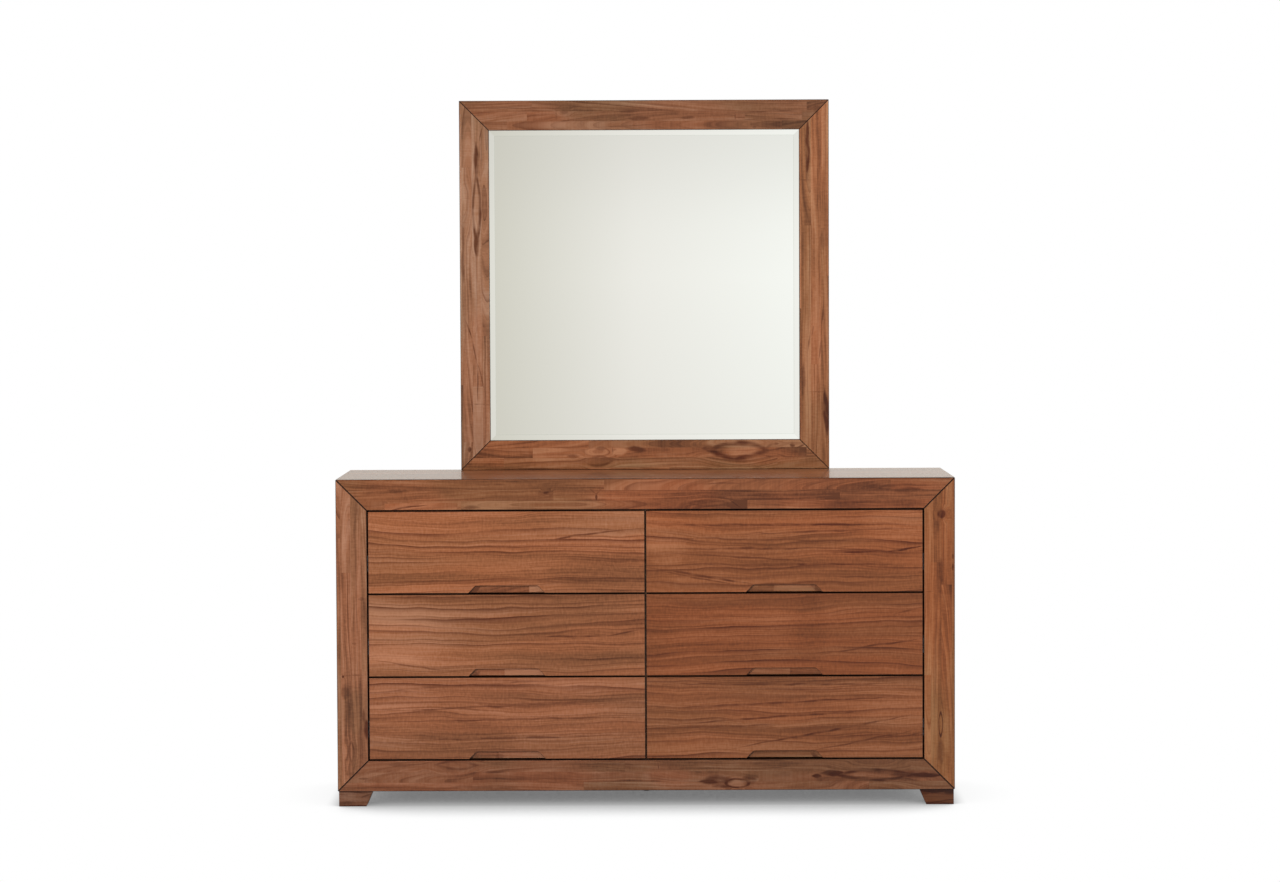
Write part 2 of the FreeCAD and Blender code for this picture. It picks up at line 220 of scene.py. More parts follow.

# marks seen in the boards, in millimetres: x, z, half length, half width, strength and, if any, tilt; the
# dark ones along the front feet's edges and at the pulls' ends are painted shade
woodMarks = {
    "face_frame_top": {
        "block": [(-579, 779, 94, 9, 0.14)],
        "warm": [(30, 800, 160, 60, 1.5), (-640, 800, 130, 60, 0.9), (-330, 810, 200, 40, -0.5),
                 (560, 800, 260, 60, 1.2)],
        "tone": [(-639, 819, 33, 7, -0.22), (-187, 811, 58, 15, -0.12), (20, 800, 150, 40, 0.12),
                 (415, 808, 95, 11, 0.14),
                 (600, 800, 150, 60, -0.3), (-390, 800, 110, 50, 0.12),
                 (310, 788, 80, 12, -0.18), (205, 790, 55, 12, 0.16)],
        "line": [(-615, 777, 56, 2.4, 0.6, 0.13), (-397, 836, 48, 2.2, 0.4), (-142, 794, 26, 1.8, 0.45),
                 (-119, 818, 10, 2.6, 0.6, 0.8), (-134, 818, 9, 2.4, 0.45, -0.7),
                 (201, 836, 60, 2.4, 0.45), (232, 784, 15, 2.4, 0.6, -0.75),
                 (504, 786, 218, 1.9, 0.5), (632, 830, 155, 3.6, 0.4), (615, 823, 110, 2.0, 0.45, -0.09)],
        "dark": [(-447, 777, 24, 6, 0.45), (-323, 774, 52, 4, 0.32), (-126, 803, 3.5, 11, 0.6),
                 (680, 817, 46, 9, 0.5), (-700, 832, 90, 7, 0.24), (-254, 815, 30, 10, 0.24)],
        "eye": [(165, 786, 50, 8, 0.34)],
        "knot": [(-254, 815, 13, 6.5, 0.75)]},
    "face_frame_bottom": {
        "warm": [(-590, 85, 200, 60, 1.2), (-250, 85, 120, 60, 0.9), (300, 100, 300, 25, -0.6),
                 (60, 80, 60, 40, 0.8)],
        "tone": [(-717, 60, 20, 5, 0.22), (0, 70, 14, 15, 0.24), (235, 58, 22, 9, 0.26),
                 (335, 109, 65, 7, -0.16),
                 (597, 77, 70, 7, 0.16), (110, 85, 110, 50, -0.15), (-600, 85, 120, 50, 0.1)],
        "line": [(-80, 108, 83, 2.2, 0.45, -0.03), (335, 99, 67, 1.9, 0.4, 0.05),
                 (-733, 73, 16, 3.0, 0.35)],
        "dark": [(-643, 108, 30, 6, 0.3), (-448, 108, 1.6, 9, 0.5), (-398, 89, 37, 4, 0.62),
                 (-426, 49, 129, 5, 0.35),
                 (32, 101, 1.5, 10, 0.5), (-128, 78, 15, 9, 0.34), (168, 62, 39, 7, 1.0),
                 (265, 59, 7, 9, 0.9),
                 (442, 76, 14, 6, 1.0), (485, 83, 32, 8, 1.3), (724, 78, 46, 7, 1.2),
                 (186, 66, 44, 14, 0.7),
                 (266, 66, 24, 15, 0.6), (690, 80, 64, 13, 0.6), (200, 50, 30, 6, 0.7),
                 (480, 68, 44, 15, 0.3),
                 (352, 80, 30, 9, 0.3), (600, 92, 60, 3.5, 0.95, -0.06)],
        "ring": [(235, 58, 29, 11, 1.0)],
        "eye": [(-492, 108, 52, 10, 0.5), (597, 78, 98, 13, 0.7)]},
    "face_frame_left": {
        "warm": [(-752, 250, 60, 50, -0.7), (-752, 560, 200, 50, 0.4)],
        "tone": [(-730, 749, 23, 5, 0.18), (-732, 508, 32, 11, -0.14), (-780, 298, 18, 11, -0.28),
                 (-748, 200, 150, 50, -0.2)],
        "line": [(-740, 240, 12, 2.2, 0.5), (-766, 642, 155, 1.8, 0.32), (-746, 434, 129, 1.8, 0.3)],
        "dark": [(-742, 767, 23, 6.5, 0.35), (-735, 541, 6, 8, 0.42), (-755, 425, 3.5, 6.5, 0.4),
                 (-752, 343, 1.7, 36, 0.5), (-724, 201, 30, 10, 0.85), (-730, 232, 26, 6, 0.45),
                 (-774, 88, 9, 4, 0.4),
                 (-742, 168, 60, 6, 0.28), (-772, 246, 40, 6, 0.3)],
        "eye": [(-764, 143, 27, 6, 0.42)],
        "knot": [(-784, 339, 4.5, 4.5, 0.8)]},
    "face_frame_right": {
        "warm": [(752, 560, 260, 50, 1.5), (752, 150, 120, 50, -0.4)],
        "tone": [(743, 670, 113, 2.2, 0.26), (752, 180, 70, 50, 0.16), (752, 530, 120, 50, -0.08)],
        "line": [(751, 377, 155, 1.9, 0.32)],
        "dark": [(764, 608, 40, 9, 0.36), (795, 645, 9, 3, 0.65), (795, 618, 12, 3, 0.65),
                 (735, 554, 1.7, 16, 0.45),
                 (764, 137, 36, 12, 0.42), (760, 742, 34, 6, 0.45, 0.15), (774, 570, 90, 5, 0.26),
                 (750, 480, 120, 5, 0.24)],
        "ring": [(764, 209, 30, 5.5, 1.0)],
        "knot": [(766, 755, 15, 13, 1.1)]},
    "mirror_frame_top": {
        "block": [(259, 1800, 13, 9, 0.2)],
        "warm": [(-360, 1805, 160, 50, 1.2), (100, 1805, 160, 50, 1.2), (-180, 1815, 60, 20, -0.6)],
        "tone": [(-194, 1796, 36, 7, 0.18), (120, 1811, 30, 9, 0.16), (-270, 1779, 90, 10, 0.2)],
        "line": [(-293, 1825, 175, 1.8, 0.4), (346, 1814, 87, 2.0, 0.58), (346, 1792, 87, 2.0, 0.58),
                 (-37, 1777, 108, 1.8, 0.4, 0.05)],
        "dark": [(-236, 1806, 1.6, 25, 0.35), (-166, 1783, 8, 13, 0.3), (-38, 1814, 31, 4, 0.42),
                 (-13, 1797, 30, 8, 0.46),
                 (118, 1798, 20, 4, 0.5), (246, 1798, 1.6, 12, 0.4), (297, 1771, 6, 3, 0.6),
                 (463, 1823, 16, 9, 0.35)],
        "knot": [(-214, 1815, 16, 9, 0.45)]},
    "mirror_frame_bottom": {
        "warm": [(-260, 900, 260, 50, 1.3), (90, 890, 120, 50, 0.9), (310, 885, 120, 24, 1.6)],
        "tone": [(-69, 897, 19, 9, 0.55), (268, 901, 52, 14, 0.55), (-370, 897, 80, 11, 0.24)],
        "line": [(342, 886, 24, 2.2, 0.55), (-284, 890, 135, 1.9, 0.32)],
        "dark": [(-194, 887, 18, 7, 0.45), (-120, 907, 16, 8, 0.4), (-88, 901, 1.6, 10, 0.5),
                 (-25, 904, 31, 9, 0.65, -0.1), (171, 908, 20, 8, 0.5), (323, 902, 1.6, 18, 0.5),
                 (336, 914, 10, 5, 0.75, 0.5), (352, 918, 12, 3, 0.5), (398, 915, 8, 8, 0.6),
                 (420, 912, 12, 4, 0.55, 0.5),
                 (140, 916, 60, 8, 0.24), (60, 892, 60, 4, 0.22)],
        "eye": [(-127, 872, 36, 12, 0.55), (252, 901, 76, 20, 0.72)]},
    "mirror_frame_left": {
        "warm": [(-452, 1500, 320, 50, 1.1), (-452, 1080, 200, 50, 1.1)],
        "line": [(-440, 1754, 23, 2.2, 0.6, 0.18), (-475, 1230, 30, 2.4, 0.7, -0.38),
                 (-459, 1172, 32, 2.6, 0.7, -0.18),
                 (-443, 1105, 40, 2.2, 0.6, -0.29), (-455, 1223, 24, 2.2, 0.5, 0.22),
                 (-452, 1086, 58, 2.2, 0.6, -0.02)],
        "dark": [(-452, 1684, 54, 8, 0.85), (-452, 1459, 38, 7, 0.8), (-427, 1609, 1.7, 9, 0.42),
                 (-489, 1490, 80, 5, 0.45), (-489, 1398, 60, 5, 0.5), (-453, 1028, 1.7, 36, 0.42),
                 (-474, 906, 9, 7, 0.75),
                 (-440, 1720, 40, 4, 0.35, 0.12)],
        "eye": [(-452, 1557, 90, 10, 0.74)]},
    "mirror_frame_right": {
        "warm": [(462, 1150, 120, 50, 0.5), (462, 1480, 120, 50, -0.4)],
        "tone": [(455, 1604, 105, 9, 0.16)],
        "line": [(467, 1604, 105, 1.8, 0.38), (443, 1191, 34, 2.2, 0.62, 0.12),
                 (454, 1222, 16, 2.2, 0.6, 0.25),
                 (480, 1257, 51, 2.2, 0.5, 0.05), (473, 1172, 34, 2.2, 0.5, 0.12),
                 (467, 1100, 38, 2.2, 0.45, 0.04),
                 (425, 1085, 46, 3.0, 0.55)],
        "dark": [(440, 1712, 88, 7, 0.9), (440, 1660, 40, 7, 0.45), (436, 1629, 1.7, 18, 0.42),
                 (483, 1497, 1.7, 11, 0.45),
                 (483, 1469, 30, 11, 0.36), (490, 1002, 64, 10, 1.0, -0.05), (462, 1058, 1.7, 36, 0.42),
                 (428, 1090, 50, 5, 0.45)]},
    "front_foot": {
        "warm": [(-760, 20, 60, 40, 0.9)],
        "tone": [(-775, 26, 20, 8, 0.2), (-745, 16, 30, 8, 0.16), (742, 17, 34, 12, 0.6),
                 (775, 12, 26, 7, 0.34)],
        "line": [(-763, 14, 24, 2.4, 0.6, 0.06), (-728, 28, 20, 2.8, 0.6, 0.35),
                 (-785, 30, 14, 2.0, 0.4)],
        # painted shade: dark lines along the feet's tops under the face frame, along their bottoms and on
        # their inner sides
        "dark": [(-752, 39, 70, 3.6, 0.9), (-757, 1, 60, 3.2, 0.7), (-712, 24, 9, 16, 0.45),
                 (758, 39, 90, 7, 1.4), (786, 31, 16, 7, 0.65), (760, 1, 60, 2.6, 0.6),
                 (722, 30, 12, 8, 0.4)]},
    "drawer_fronts": {
        "tone": [(-700, 452, 230, 90, 0.31), (-520, 440, 200, 90, 0.08), (-160, 450, 230, 120, -0.14),
                 (-90, 731, 170, 40, 0.18), (-90, 603, 170, 50, -0.2), (-640, 660, 150, 60, 0.08),
                 (52, 665, 60, 45, 0.26), (655, 728, 100, 45, 0.24), (420, 610, 220, 60, -0.08),
                 (426, 455, 45, 110, -0.12), (330, 440, 40, 90, 0.08), (-655, 281, 120, 50, 0.16),
                 (-470, 178, 140, 45, -0.2), (655, 235, 110, 50, 0.2)],
        "line": [(-161, 704, 148, 2.8, 0.62, 0.13), (-221, 583, 180, 2.4, 0.45, 0.02),
                 (542, 658, 72, 3.2, 0.95),
                 (665, 665, 56, 3.4, 1.05, 0.14), (126, 594, 129, 2.6, 0.52, -0.18),
                 (-188, 442, 85, 3.0, 0.68),
                 (-59, 449, 48, 3.0, 0.66, 0.17), (-587, 364, 129, 2.4, 0.48, -0.14),
                 (586, 413, 134, 2.8, 0.6, 0.15),
                 (680, 506, 40, 2.8, 0.55, 0.26), (141, 418, 155, 2.4, 0.38, 0.02),
                 (-588, 307, 119, 2.8, 0.48, 0.09),
                 (-365, 321, 104, 2.8, 0.46, 0.04), (632, 177, 103, 2.6, 0.48, 0.12),
                 (192, 259, 180, 2.6, 0.46, 0.03),
                 (360, 729, 350, 3.6, 0.72), (480, 712, 230, 3.0, 0.66, 0.03), (300, 668, 260, 3.0, 0.58),
                 (360, 626, 350, 3.2, 0.66), (600, 592, 110, 3.0, 0.6, -0.02),
                 (140, 598, 150, 3.2, 0.66, -0.165),
                 (360, 268, 350, 3.2, 0.62, 0.045), (360, 232, 350, 3.2, 0.62, 0.07),
                 (468, 193, 250, 3.2, 0.66, 0.185),
                 (360, 316, 350, 3.0, 0.6), (560, 168, 150, 2.8, 0.58, 0.2),
                 (200, 205, 160, 2.8, 0.54, 0.03),
                 (-356, 262, 350, 3.0, 0.58, 0.04), (-356, 226, 350, 3.0, 0.56, 0.016),
                 (-330, 178, 330, 3.0, 0.56, 0.02),
                 (-590, 248, 110, 2.8, 0.52, 0.1), (360, 690, 350, 2.8, 0.52, -0.02),
                 (250, 645, 220, 2.8, 0.5, -0.06)]},
    "pulls": {
        "warm": [(-350, 345, 120, 300, 1.0), (350, 345, 130, 300, 0.5)],
        "block": [(-367, 562, 66, 30, -0.06), (-271, 562, 30, 30, 0.55), (283, 562, 50, 30, 0.02),
                  (386, 562, 53, 30, 0.34),
                  (-402, 341, 36, 30, -0.14), (-302, 341, 64, 30, 0.34), (322, 341, 52, 30, 0.46),
                  (413, 341, 39, 30, 0.02),
                  (-414, 124, 32, 30, -0.04), (-312, 124, 70, 30, 0.2), (350, 124, 110, 30, 0.1)],
        # dark marks at the pulls' ends: painted shade in the pockets' corners, partly darker wood
        "dark": [(-440, 562, 16, 9, 0.6, 0.8), (442, 562, 18, 8, 0.42, -0.8), (-441, 341, 15, 9, 0.7, 0.8),
                 (-380, 128, 14, 8, 0.42), (260, 124, 15, 9, 0.55, 0.8), (442, 122, 16, 9, 0.6, -0.8)]},
}

# every mark is a node group: it takes where it lies and how large it is, and adds to what came before
markTakes = ("Run", "Rise", "Along", "Across", "Length", "Width", "Strength", "Tilt")
markAdds = ("Warm", "Tone", "Ink", "Pull")
millimetres = 1000  # in a metre
markLook = {"block": (1.01, 0.99), "blockPull": 0.037, "tone": (1.4, 0.2), "line": (1.4, 0.4),
            "rim": (0.60, 0.08), "knotRim": 0.22, "knot": (1.1, 0.0), "bendReach": (4.0, 0.6),
            "bend": -0.00085, "sway": (0.014, 0.04, 1), "swayReach": 9, "thin": (0.022, 0.06, 1),
            "thinning": (0.34, 0.60, 0.60, 1.20)}


def makeMarkTree(kind):
    tree = bpy.data.node_groups.new(kind + "Mark", "ShaderNodeTree")
    for name in markTakes + markAdds:
        tree.interface.new_socket(name=name, in_out="INPUT", socket_type="NodeSocketFloat")
    for name in markAdds:
        tree.interface.new_socket(name=name, in_out="OUTPUT", socket_type="NodeSocketFloat")
    sockets = tree.nodes.new("NodeGroupInput").outputs
    given = {name: nodeValue(sockets[name]) for name in markTakes + markAdds}
    away = given["Run"] - given["Along"]
    off = given["Rise"] - given["Across"] - away * given["Tilt"]
    u, v = away / given["Length"], off / given["Width"]
    strength = given["Strength"]
    made = {name: given[name] for name in markAdds}
    pointed = kind in ("line", "dark", "eye")
    spread = calc("MULTIPLY_ADD", u, u, abs(v) if pointed else v * v)
    if kind == "block":
        inside = rangeOf(larger(abs(u), abs(v)), *markLook["block"], smooth=False)
        made["Tone"] = calc("MULTIPLY_ADD", inside, strength, given["Tone"])
        made["Pull"] = calc("MULTIPLY_ADD", inside, markLook["blockPull"], given["Pull"])
    elif kind in ("tone", "warm"):
        name = kind.title()
        made[name] = calc("MULTIPLY_ADD", rangeOf(spread, *markLook["tone"]), strength, given[name])
    elif kind in ("line", "dark"):
        made["Ink"] = larger(rangeOf(spread, *markLook["line"]) * strength, given["Ink"])
    else:
        rim = rangeOf(abs(spread - 1.0), *markLook["rim"])
        if kind == "knot":
            rim = larger(rim * markLook["knotRim"], rangeOf(spread, *markLook["knot"]))
        made["Ink"] = larger(calc("MULTIPLY", rim, strength, clamp=True), given["Ink"])
        made["Pull"] = rangeOf(spread, *markLook["bendReach"]) * (off * markLook["bend"]) + given["Pull"]
    addNode(tree, "NodeGroupOutput", made)
    return tree


markKinds = ("block", "tone", "warm", "line", "dark", "eye", "ring", "knot")
markTrees = {kind: makeMarkTree(kind) for kind in markKinds}


def addMarks(tree, marks, upright):  # what they add to the hue, the tone, the dark lines and the rings
    made = dict.fromkeys(markAdds, 0.0)
    if not marks:
        return made.values()
    spots = [part * millimetres for part in split(placeOf(tree))]
    run, rise = (spots[2], spots[0]) if upright else (spots[0], spots[2])
    rise = calc("MULTIPLY_ADD", noiseOver(run, rise, markLook["sway"]) - 0.5, markLook["swayReach"], rise)
    for kind, given in marks.items():
        for x, z, length, width, strength, *tilt in given:
            along, across = (z, x) if upright else (x, z)
            mark = addNode(tree, "ShaderNodeGroup", {
                "Run": run, "Rise": rise, "Along": along, "Across": across, "Length": length, "Width": width,
                "Strength": strength, "Tilt": sum(tilt), **made}, node_tree=markTrees[kind])
            made = {name: nodeValue(mark.outputs[name]) for name in made}
    thin = noiseOver(run, rise, markLook["thin"])
    made["Ink"] = made["Ink"] * rangeOf(thin, *markLook["thinning"])
    return made.values()


# year rings: how they crowd, how strong each one is, and how soft the wood fades between them
ringLook = {"crowd": (0.6, 0.35), "crowding": 2.6, "force": 0.65, "fade": (3.2, 3.7, 1),
            "fading": (0.35, 0.58, 0.3, 1.0), "softness": 2.0, "soft": 0.28, "edge": (1.0, 0.985),
            "tilt": 0.7}


def ringLines(along, rings, pitch, sharp):
    often, wide = ringLook["crowd"]
    crowd = noiseOver(along, rings, (often, wide / pitch, 1))
    place = rings / pitch + crowd * ringLook["crowding"]
    ring, inRing = calc("FLOOR", place), calc("FRACT", place)
    force = chanceOf(ring)
    fade = noiseOver(along, ring, ringLook["fade"])
    shown = force ** ringLook["force"] * rangeOf(fade, *ringLook["fading"])
    line = inRing ** sharp + inRing ** ringLook["softness"] * ringLook["soft"]
    return line * rangeOf(inRing, *ringLook["edge"]) * shown


# staves: how far one's start, heart, taper, depth and rings may lie from the next one's; seams in metres
staveLook = {"shift": 7.3, "heart": 0.13, "taper": 0.22, "below": 0.045, "rings": 3.0, "along": 9.0,
             "layers": (1.5, 6.5), "sideSeam": 0.0005, "endSeam": 0.0006, "seamLine": 0.18, "shade": 0.12}


def splitStaves(along, across, depth, length, width):
    rowPlace = across / width
    row = calc("FLOOR", rowPlace)
    columnPlace = along / length + chanceOf(row) * staveLook["shift"]
    column = calc("FLOOR", columnPlace)
    picks = []
    for layer in staveLook["layers"]:
        chance = outOf(row.tree, "ShaderNodeTexWhiteNoise", {"Vector": pack(row, column, layer)}, "Color")
        picks += split(chance, "Color")
    fromRow, fromColumn = calc("FRACT", rowPlace) - 0.5, calc("FRACT", columnPlace) - 0.5
    heart = (picks[0] - 0.5) * staveLook["heart"]
    taper = (picks[1] - 0.5) * staveLook["taper"]
    below = picks[2] * staveLook["below"] + fromColumn * length * taper + depth * ringLook["tilt"]
    rings = lengthOf(pack(fromRow * width - heart, below)) + picks[3] * staveLook["rings"]
    seam = larger(rangeOf(abs(fromRow), 0.5 - staveLook["sideSeam"] / width, 0.5),
                  rangeOf(abs(fromColumn), 0.5 - staveLook["endSeam"] / length, 0.5))
    return along + picks[4] * staveLook["along"], rings, picks[5], seam


# noises in the wood, along and across its grain, and what they and the varnish do
grainLook = {"sway": (1.1, 2.5, 1), "wave": (4.2, 14.0, 2), "patch": (1.2, 26.0, 2),
             "streak": (3.5, 210.0, 2), "cloud": (9.0, 70.0, 3), "fibre": (30.0, 900.0, 1),
             "fleck": (200.0, 75.0, 1), "cast": (1.6, 15.0, 1, 7.7), "casting": (0.40, 0.62),
             "swaying": 5, "waving": 1.6, "inking": (0.3, 0.65, 0.75, 1.15), "ink": (0.28, 0.16, 0.10, 1),
             "lineForce": 1.08, "roughness": (0.16, 0.34), "fibreHeight": 0.5, "bump": (0.3, 0.0002),
             "varnish": {"Specular IOR Level": 0.12, "Coat Weight": 0.5, "Coat Roughness": 0.07,
                         "Coat IOR": 1.36}}


def makeWood(name, look, marks=None, upright=False):
    made, tree, surface = newMaterial(name, grainLook["varnish"])
    along, across, depth = split(layerOf(tree, "grain"))
    shade = seam = None
    if look["stave"]:
        along, rings, shade, seam = splitStaves(along, across, depth, *look["stave"])
    else:
        rings = across + depth * ringLook["tilt"]
    warm, tone, ink, pull = addMarks(tree, marks, upright)
    rings = rings + pull
    sway, wave = [noiseOver(along, rings, grainLook[key]) - 0.5 for key in ("sway", "wave")]
    bent = rings + sway * (look["wave"] * grainLook["swaying"]) + wave * (look["wave"] * grainLook["waving"])
    ringKinds = zip(look["pitches"], look["sharp"])
    major, minor = [ringLines(along, bent, pitch, sharp) for pitch, sharp in ringKinds]
    value, noises = 0.5, {}
    for key in ("patch", "streak", "fibre", "fleck", "cloud"):
        noises[key] = noiseOver(along, bent, grainLook[key])
        value = calc("MULTIPLY_ADD", noises[key] - 0.5, look[key], value)
    value = value + tone
    if shade:
        value = calc("MULTIPLY_ADD", shade - 0.5, staveLook["shade"], value)
    colour = ramp(value, [(0.0, look["dark"]), (0.5, look["mid"]), (1.0, look["light"])])
    lines = larger(major * look["lines"][0], minor * look["lines"][1])
    if seam:
        lines = larger(lines, seam * staveLook["seamLine"])
    lines = larger(lines, rangeOf(noises["streak"], *grainLook["inking"]) * ink)
    cast = rangeOf(noiseOver(along, bent, grainLook["cast"]), *grainLook["casting"]) + warm
    colour = mixColours(calc("SUBTRACT", cast, 1.0, clamp=True), colour,
                        mixColours(1.0, colour, look["red"], "MULTIPLY"))
    greyed = mixColours(1.0, colour, look["grey"], "MULTIPLY")
    colour = mixColours(calc("ADD", cast, 0.0, clamp=True), greyed, colour)
    inked = mixColours(1.0, colour, grainLook["ink"], "MULTIPLY")
    colour = mixColours(calc("MULTIPLY", lines, grainLook["lineForce"], clamp=True), colour, inked)
    # each board's colour shift, which on the front feet is painted shade
    tint = outOf(tree, "ShaderNodeVectorMath", {0: layerOf(tree, "tint"), 1: (1, 1, 1)}, operation="ADD")
    colour = mixColours(1.0, colour, tint, "MULTIPLY")
    # glaze and shade: eased edges, mitres, gap sides and undersides darkened as painted shade, partly a real
    # glaze; cut ends get a real glaze
    colour = mixColours(layerOf(tree, "glaze", "Fac"), colour, look["glaze"])
    height = noises["fibre"] * grainLook["fibreHeight"] - lines
    setInputs(surface, {"Base Color": colour, "Normal": bumpOf(height, *grainLook["bump"]),
                        "Roughness": calc("MULTIPLY_ADD", noises["streak"], *grainLook["roughness"])})
    return made


woods = {name: makeWood(name, look) for name, look in woodLooks.items()}
markedWoods = {}
for name, marks in woodMarks.items():
    kind = "veneerWood" if name == "drawer_fronts" else "staveWood"
    markedWoods[name] = makeWood(name + "_wood", woodLooks[kind], marks, name.endswith(("left", "right")))
print("woods made")

# boards' colours, raised or lowered in red, green and blue from the wood's own; on the front feet this is
# painted shade
boardTintsAndShade = {
    "top_left_drawer_front": (0.04, 0.01, 0.01), "top_right_drawer_front": (-0.09, -0.21, -0.32),
    "middle_left_drawer_front": (-0.05, -0.05, -0.02), "middle_right_drawer_front": (-0.24, -0.37, -0.48),
    "bottom_left_drawer_front": (-0.10, -0.10, -0.04), "bottom_right_drawer_front": (-0.20, -0.26, -0.32),
    "face_frame_top": (-0.13, -0.22, -0.28), "face_frame_bottom": (-0.32, -0.33, -0.29),
    "face_frame_left": (0.02, 0.06, 0.20), "face_frame_right": (-0.10, -0.19, -0.36),
    "mirror_frame_top": (-0.22, -0.20, -0.15), "mirror_frame_bottom": (0.00, 0.02, -0.02),
    "mirror_frame_left": (0.04, 0.28, 0.58), "mirror_frame_right": (0.17, 0.13, 0.07),
    # the front feet are darkened as painted shade
    "front_left_foot": (-0.44, -0.41, -0.31), "front_right_foot": (-0.69, -0.78, -0.83)}

# the stretch of grain that a board gets is drawn by its name, and these two are drawn again
boardSeeds = {"top_right_frontWood": "c", "bottom_right_frontWood": "b"}
grainSpan = (40, 12)  # metres of grain to draw from, along and across
squareOn = 0.9  # how far a face looks along an axis to count as facing it

# every wooden piece is meshed in its own axes, eased, given its grain, then placed; the glaze and shade is
# how much darker the eased edges, the sides of the gaps and the cut ends are: painted shade along the edges,
# in the mitres, in the gaps and under the boards, partly a real glaze there, and a real glaze on the cut
# ends
easeLook = {"front": 0.0013, "frame": 0.0012, "board": 0.0009, "inner": 0.0006, "sheet": 0.0005,
            "box": 0.0004, "segments": 3, "mitre": 1.5, "angle": math.radians(30)}
glazeAndShadeLook = {"mitre": 0.95, "front": 0.85, "gap": 0.80, "box": 0.45, "board": 0.40, "endGrain": 0.30}


def meshFrom(points, faces):
    bm = bmesh.new()
    corners = [bm.verts.new(point) for point in points]
    for face in faces:
        made = bm.faces.new([corners[index] for index in face])
        made.smooth = True
    bmesh.ops.recalc_face_normals(bm, faces=bm.faces)
    return bm


def prismFaces(count, first=0):  # two ends with as many corners, and the sides between them
    faces = [tuple(range(first, first + count)), tuple(range(first + count, first + 2 * count))]
    for index in range(count):
        after = (index + 1) % count
        faces.append((first + index, first + after, first + count + after, first + count + index))
    return faces


def pieceFrom(name, bm, materials):
    mesh = bpy.data.meshes.new(name)
    bm.to_mesh(mesh)
    bm.free()
    made = link(name, mesh)
    for material in materials:
        mesh.materials.append(material)
    return made


def applyModifiers(piece):
    bpy.context.view_layer.update()
    graph = bpy.context.evaluated_depsgraph_get()
    mesh = bpy.data.meshes.new_from_object(piece.evaluated_get(graph))
    piece.modifiers.clear()
    piece.data = mesh
    mesh.name = piece.name


# the eased edges are darkened: painted shade in the creases and along the arrises, partly a real glaze
def ease(piece, width, glaze, segments=2):  # glaze darkens the eased edges
    bevel = piece.modifiers.new("ease", "BEVEL")
    bevel.width = width
    bevel.segments = segments
    weighted = "bevel_weight_edge" in piece.data.attributes
    bevel.limit_method = "WEIGHT" if weighted else "ANGLE"
    bevel.angle_limit = easeLook["angle"]
    bevel.harden_normals = True
    marker = len(piece.data.materials)
    piece.data.materials.append(None)
    bevel.material = marker
    applyModifiers(piece)
    mesh = piece.data
    layer = mesh.attributes.new("glaze", "FLOAT", "CORNER")
    for face in mesh.polygons:
        if face.material_index == marker:
            face.material_index = 0
            for corner in face.loop_indices:
                layer.data[corner].value = glaze
    mesh.materials.pop(index=marker)


# paints the chosen faces darker: painted shade in the gaps and under the boards, a real glaze on the cut
# ends
def darken(piece, amount, chosen):  # glazes the faces that are chosen
    glaze = piece.data.attributes["glaze"]
    for face in piece.data.polygons:
        if chosen(face):
            for corner in face.loop_indices:
                glaze.data[corner].value = amount


def giveGrain(piece, along, across, tint=(0, 0, 0), endGlaze=0.0):  # endGlaze darkens ends cut across
    pick = random.Random(piece.name + boardSeeds.get(piece.name, ""))
    depth = 3 - along - across
    back = min(vertex.co[depth] for vertex in piece.data.vertices)
    offsets = [*(pick.uniform(0, span) for span in grainSpan), -back]
    layer = piece.data.attributes.new("grain", "FLOAT_VECTOR", "POINT")
    for vertex, value in zip(piece.data.vertices, layer.data):
        value.vector = (vertex.co[along] + offsets[0], vertex.co[across] + offsets[1],
                        vertex.co[depth] + offsets[2])
    shade = piece.data.attributes.new("tint", "FLOAT_VECTOR", "POINT")
    for value in shade.data:
        value.vector = tint
    if endGlaze:
        darken(piece, endGlaze, lambda face: abs(face.normal[along]) > squareOn)


def settle(piece, body, nodes, place=None):
    if place is not None:
        piece.data.transform(place)
    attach(piece, body)
    if nodes:
        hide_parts(*nodes)
    return piece


def mitredBoard(name, section, length, material, wideMitre=1.0):
    points = [(sign * (length / 2 + z), y, z) for sign in (-1, 1) for y, z in section]
    bm = meshFrom(points, prismFaces(len(section)))
    if wideMitre != 1.0:  # the mitred ends are eased more than the rest
        weights = bm.edges.layers.float.new("bevel_weight_edge")
        for edge in bm.edges:
            atEnd = edge.verts[0].co.x * edge.verts[1].co.x > 0
            edge[weights] = 1.0 if atEnd else 1.0 / wideMitre
    return pieceFrom(name, bm, [material])


def ringPlace(middle, turn, reach):  # from the board's own axes to its side of a frame
    return (Matrix.Translation((0, 0, middle)) @ Matrix.Rotation(math.radians(turn), 4, "Y")
            @ Matrix.Translation((0, 0, reach)))


def mitredSet(name, sections, width, height, middle, material, easing, wideMitre=1.0):
    for side, turn in sideTurns.items():
        node = f"{name}_{side}"
        length, across = (height, width) if side in columns else (width, height)
        piece = mitredBoard(node + "Wood", sections, length, markedWoods.get(node, material), wideMitre)
        # the eased edges and mitre grooves are darkened almost to black: painted shade, partly a real glaze
        ease(piece, easing * wideMitre, glazeAndShadeLook["mitre"], easeLook["segments"])
        giveGrain(piece, 0, 2, tint=boardTintsAndShade.get(node, (0, 0, 0)))
        # painted shade on the face frame's undersides, over the gaps and above the feet
        if name == "face_frame":
            darken(piece, glazeAndShadeLook["gap"], lambda face: face.normal.z < -squareOn)
        settle(piece, "case", [node], ringPlace(middle, turn, across / 2))


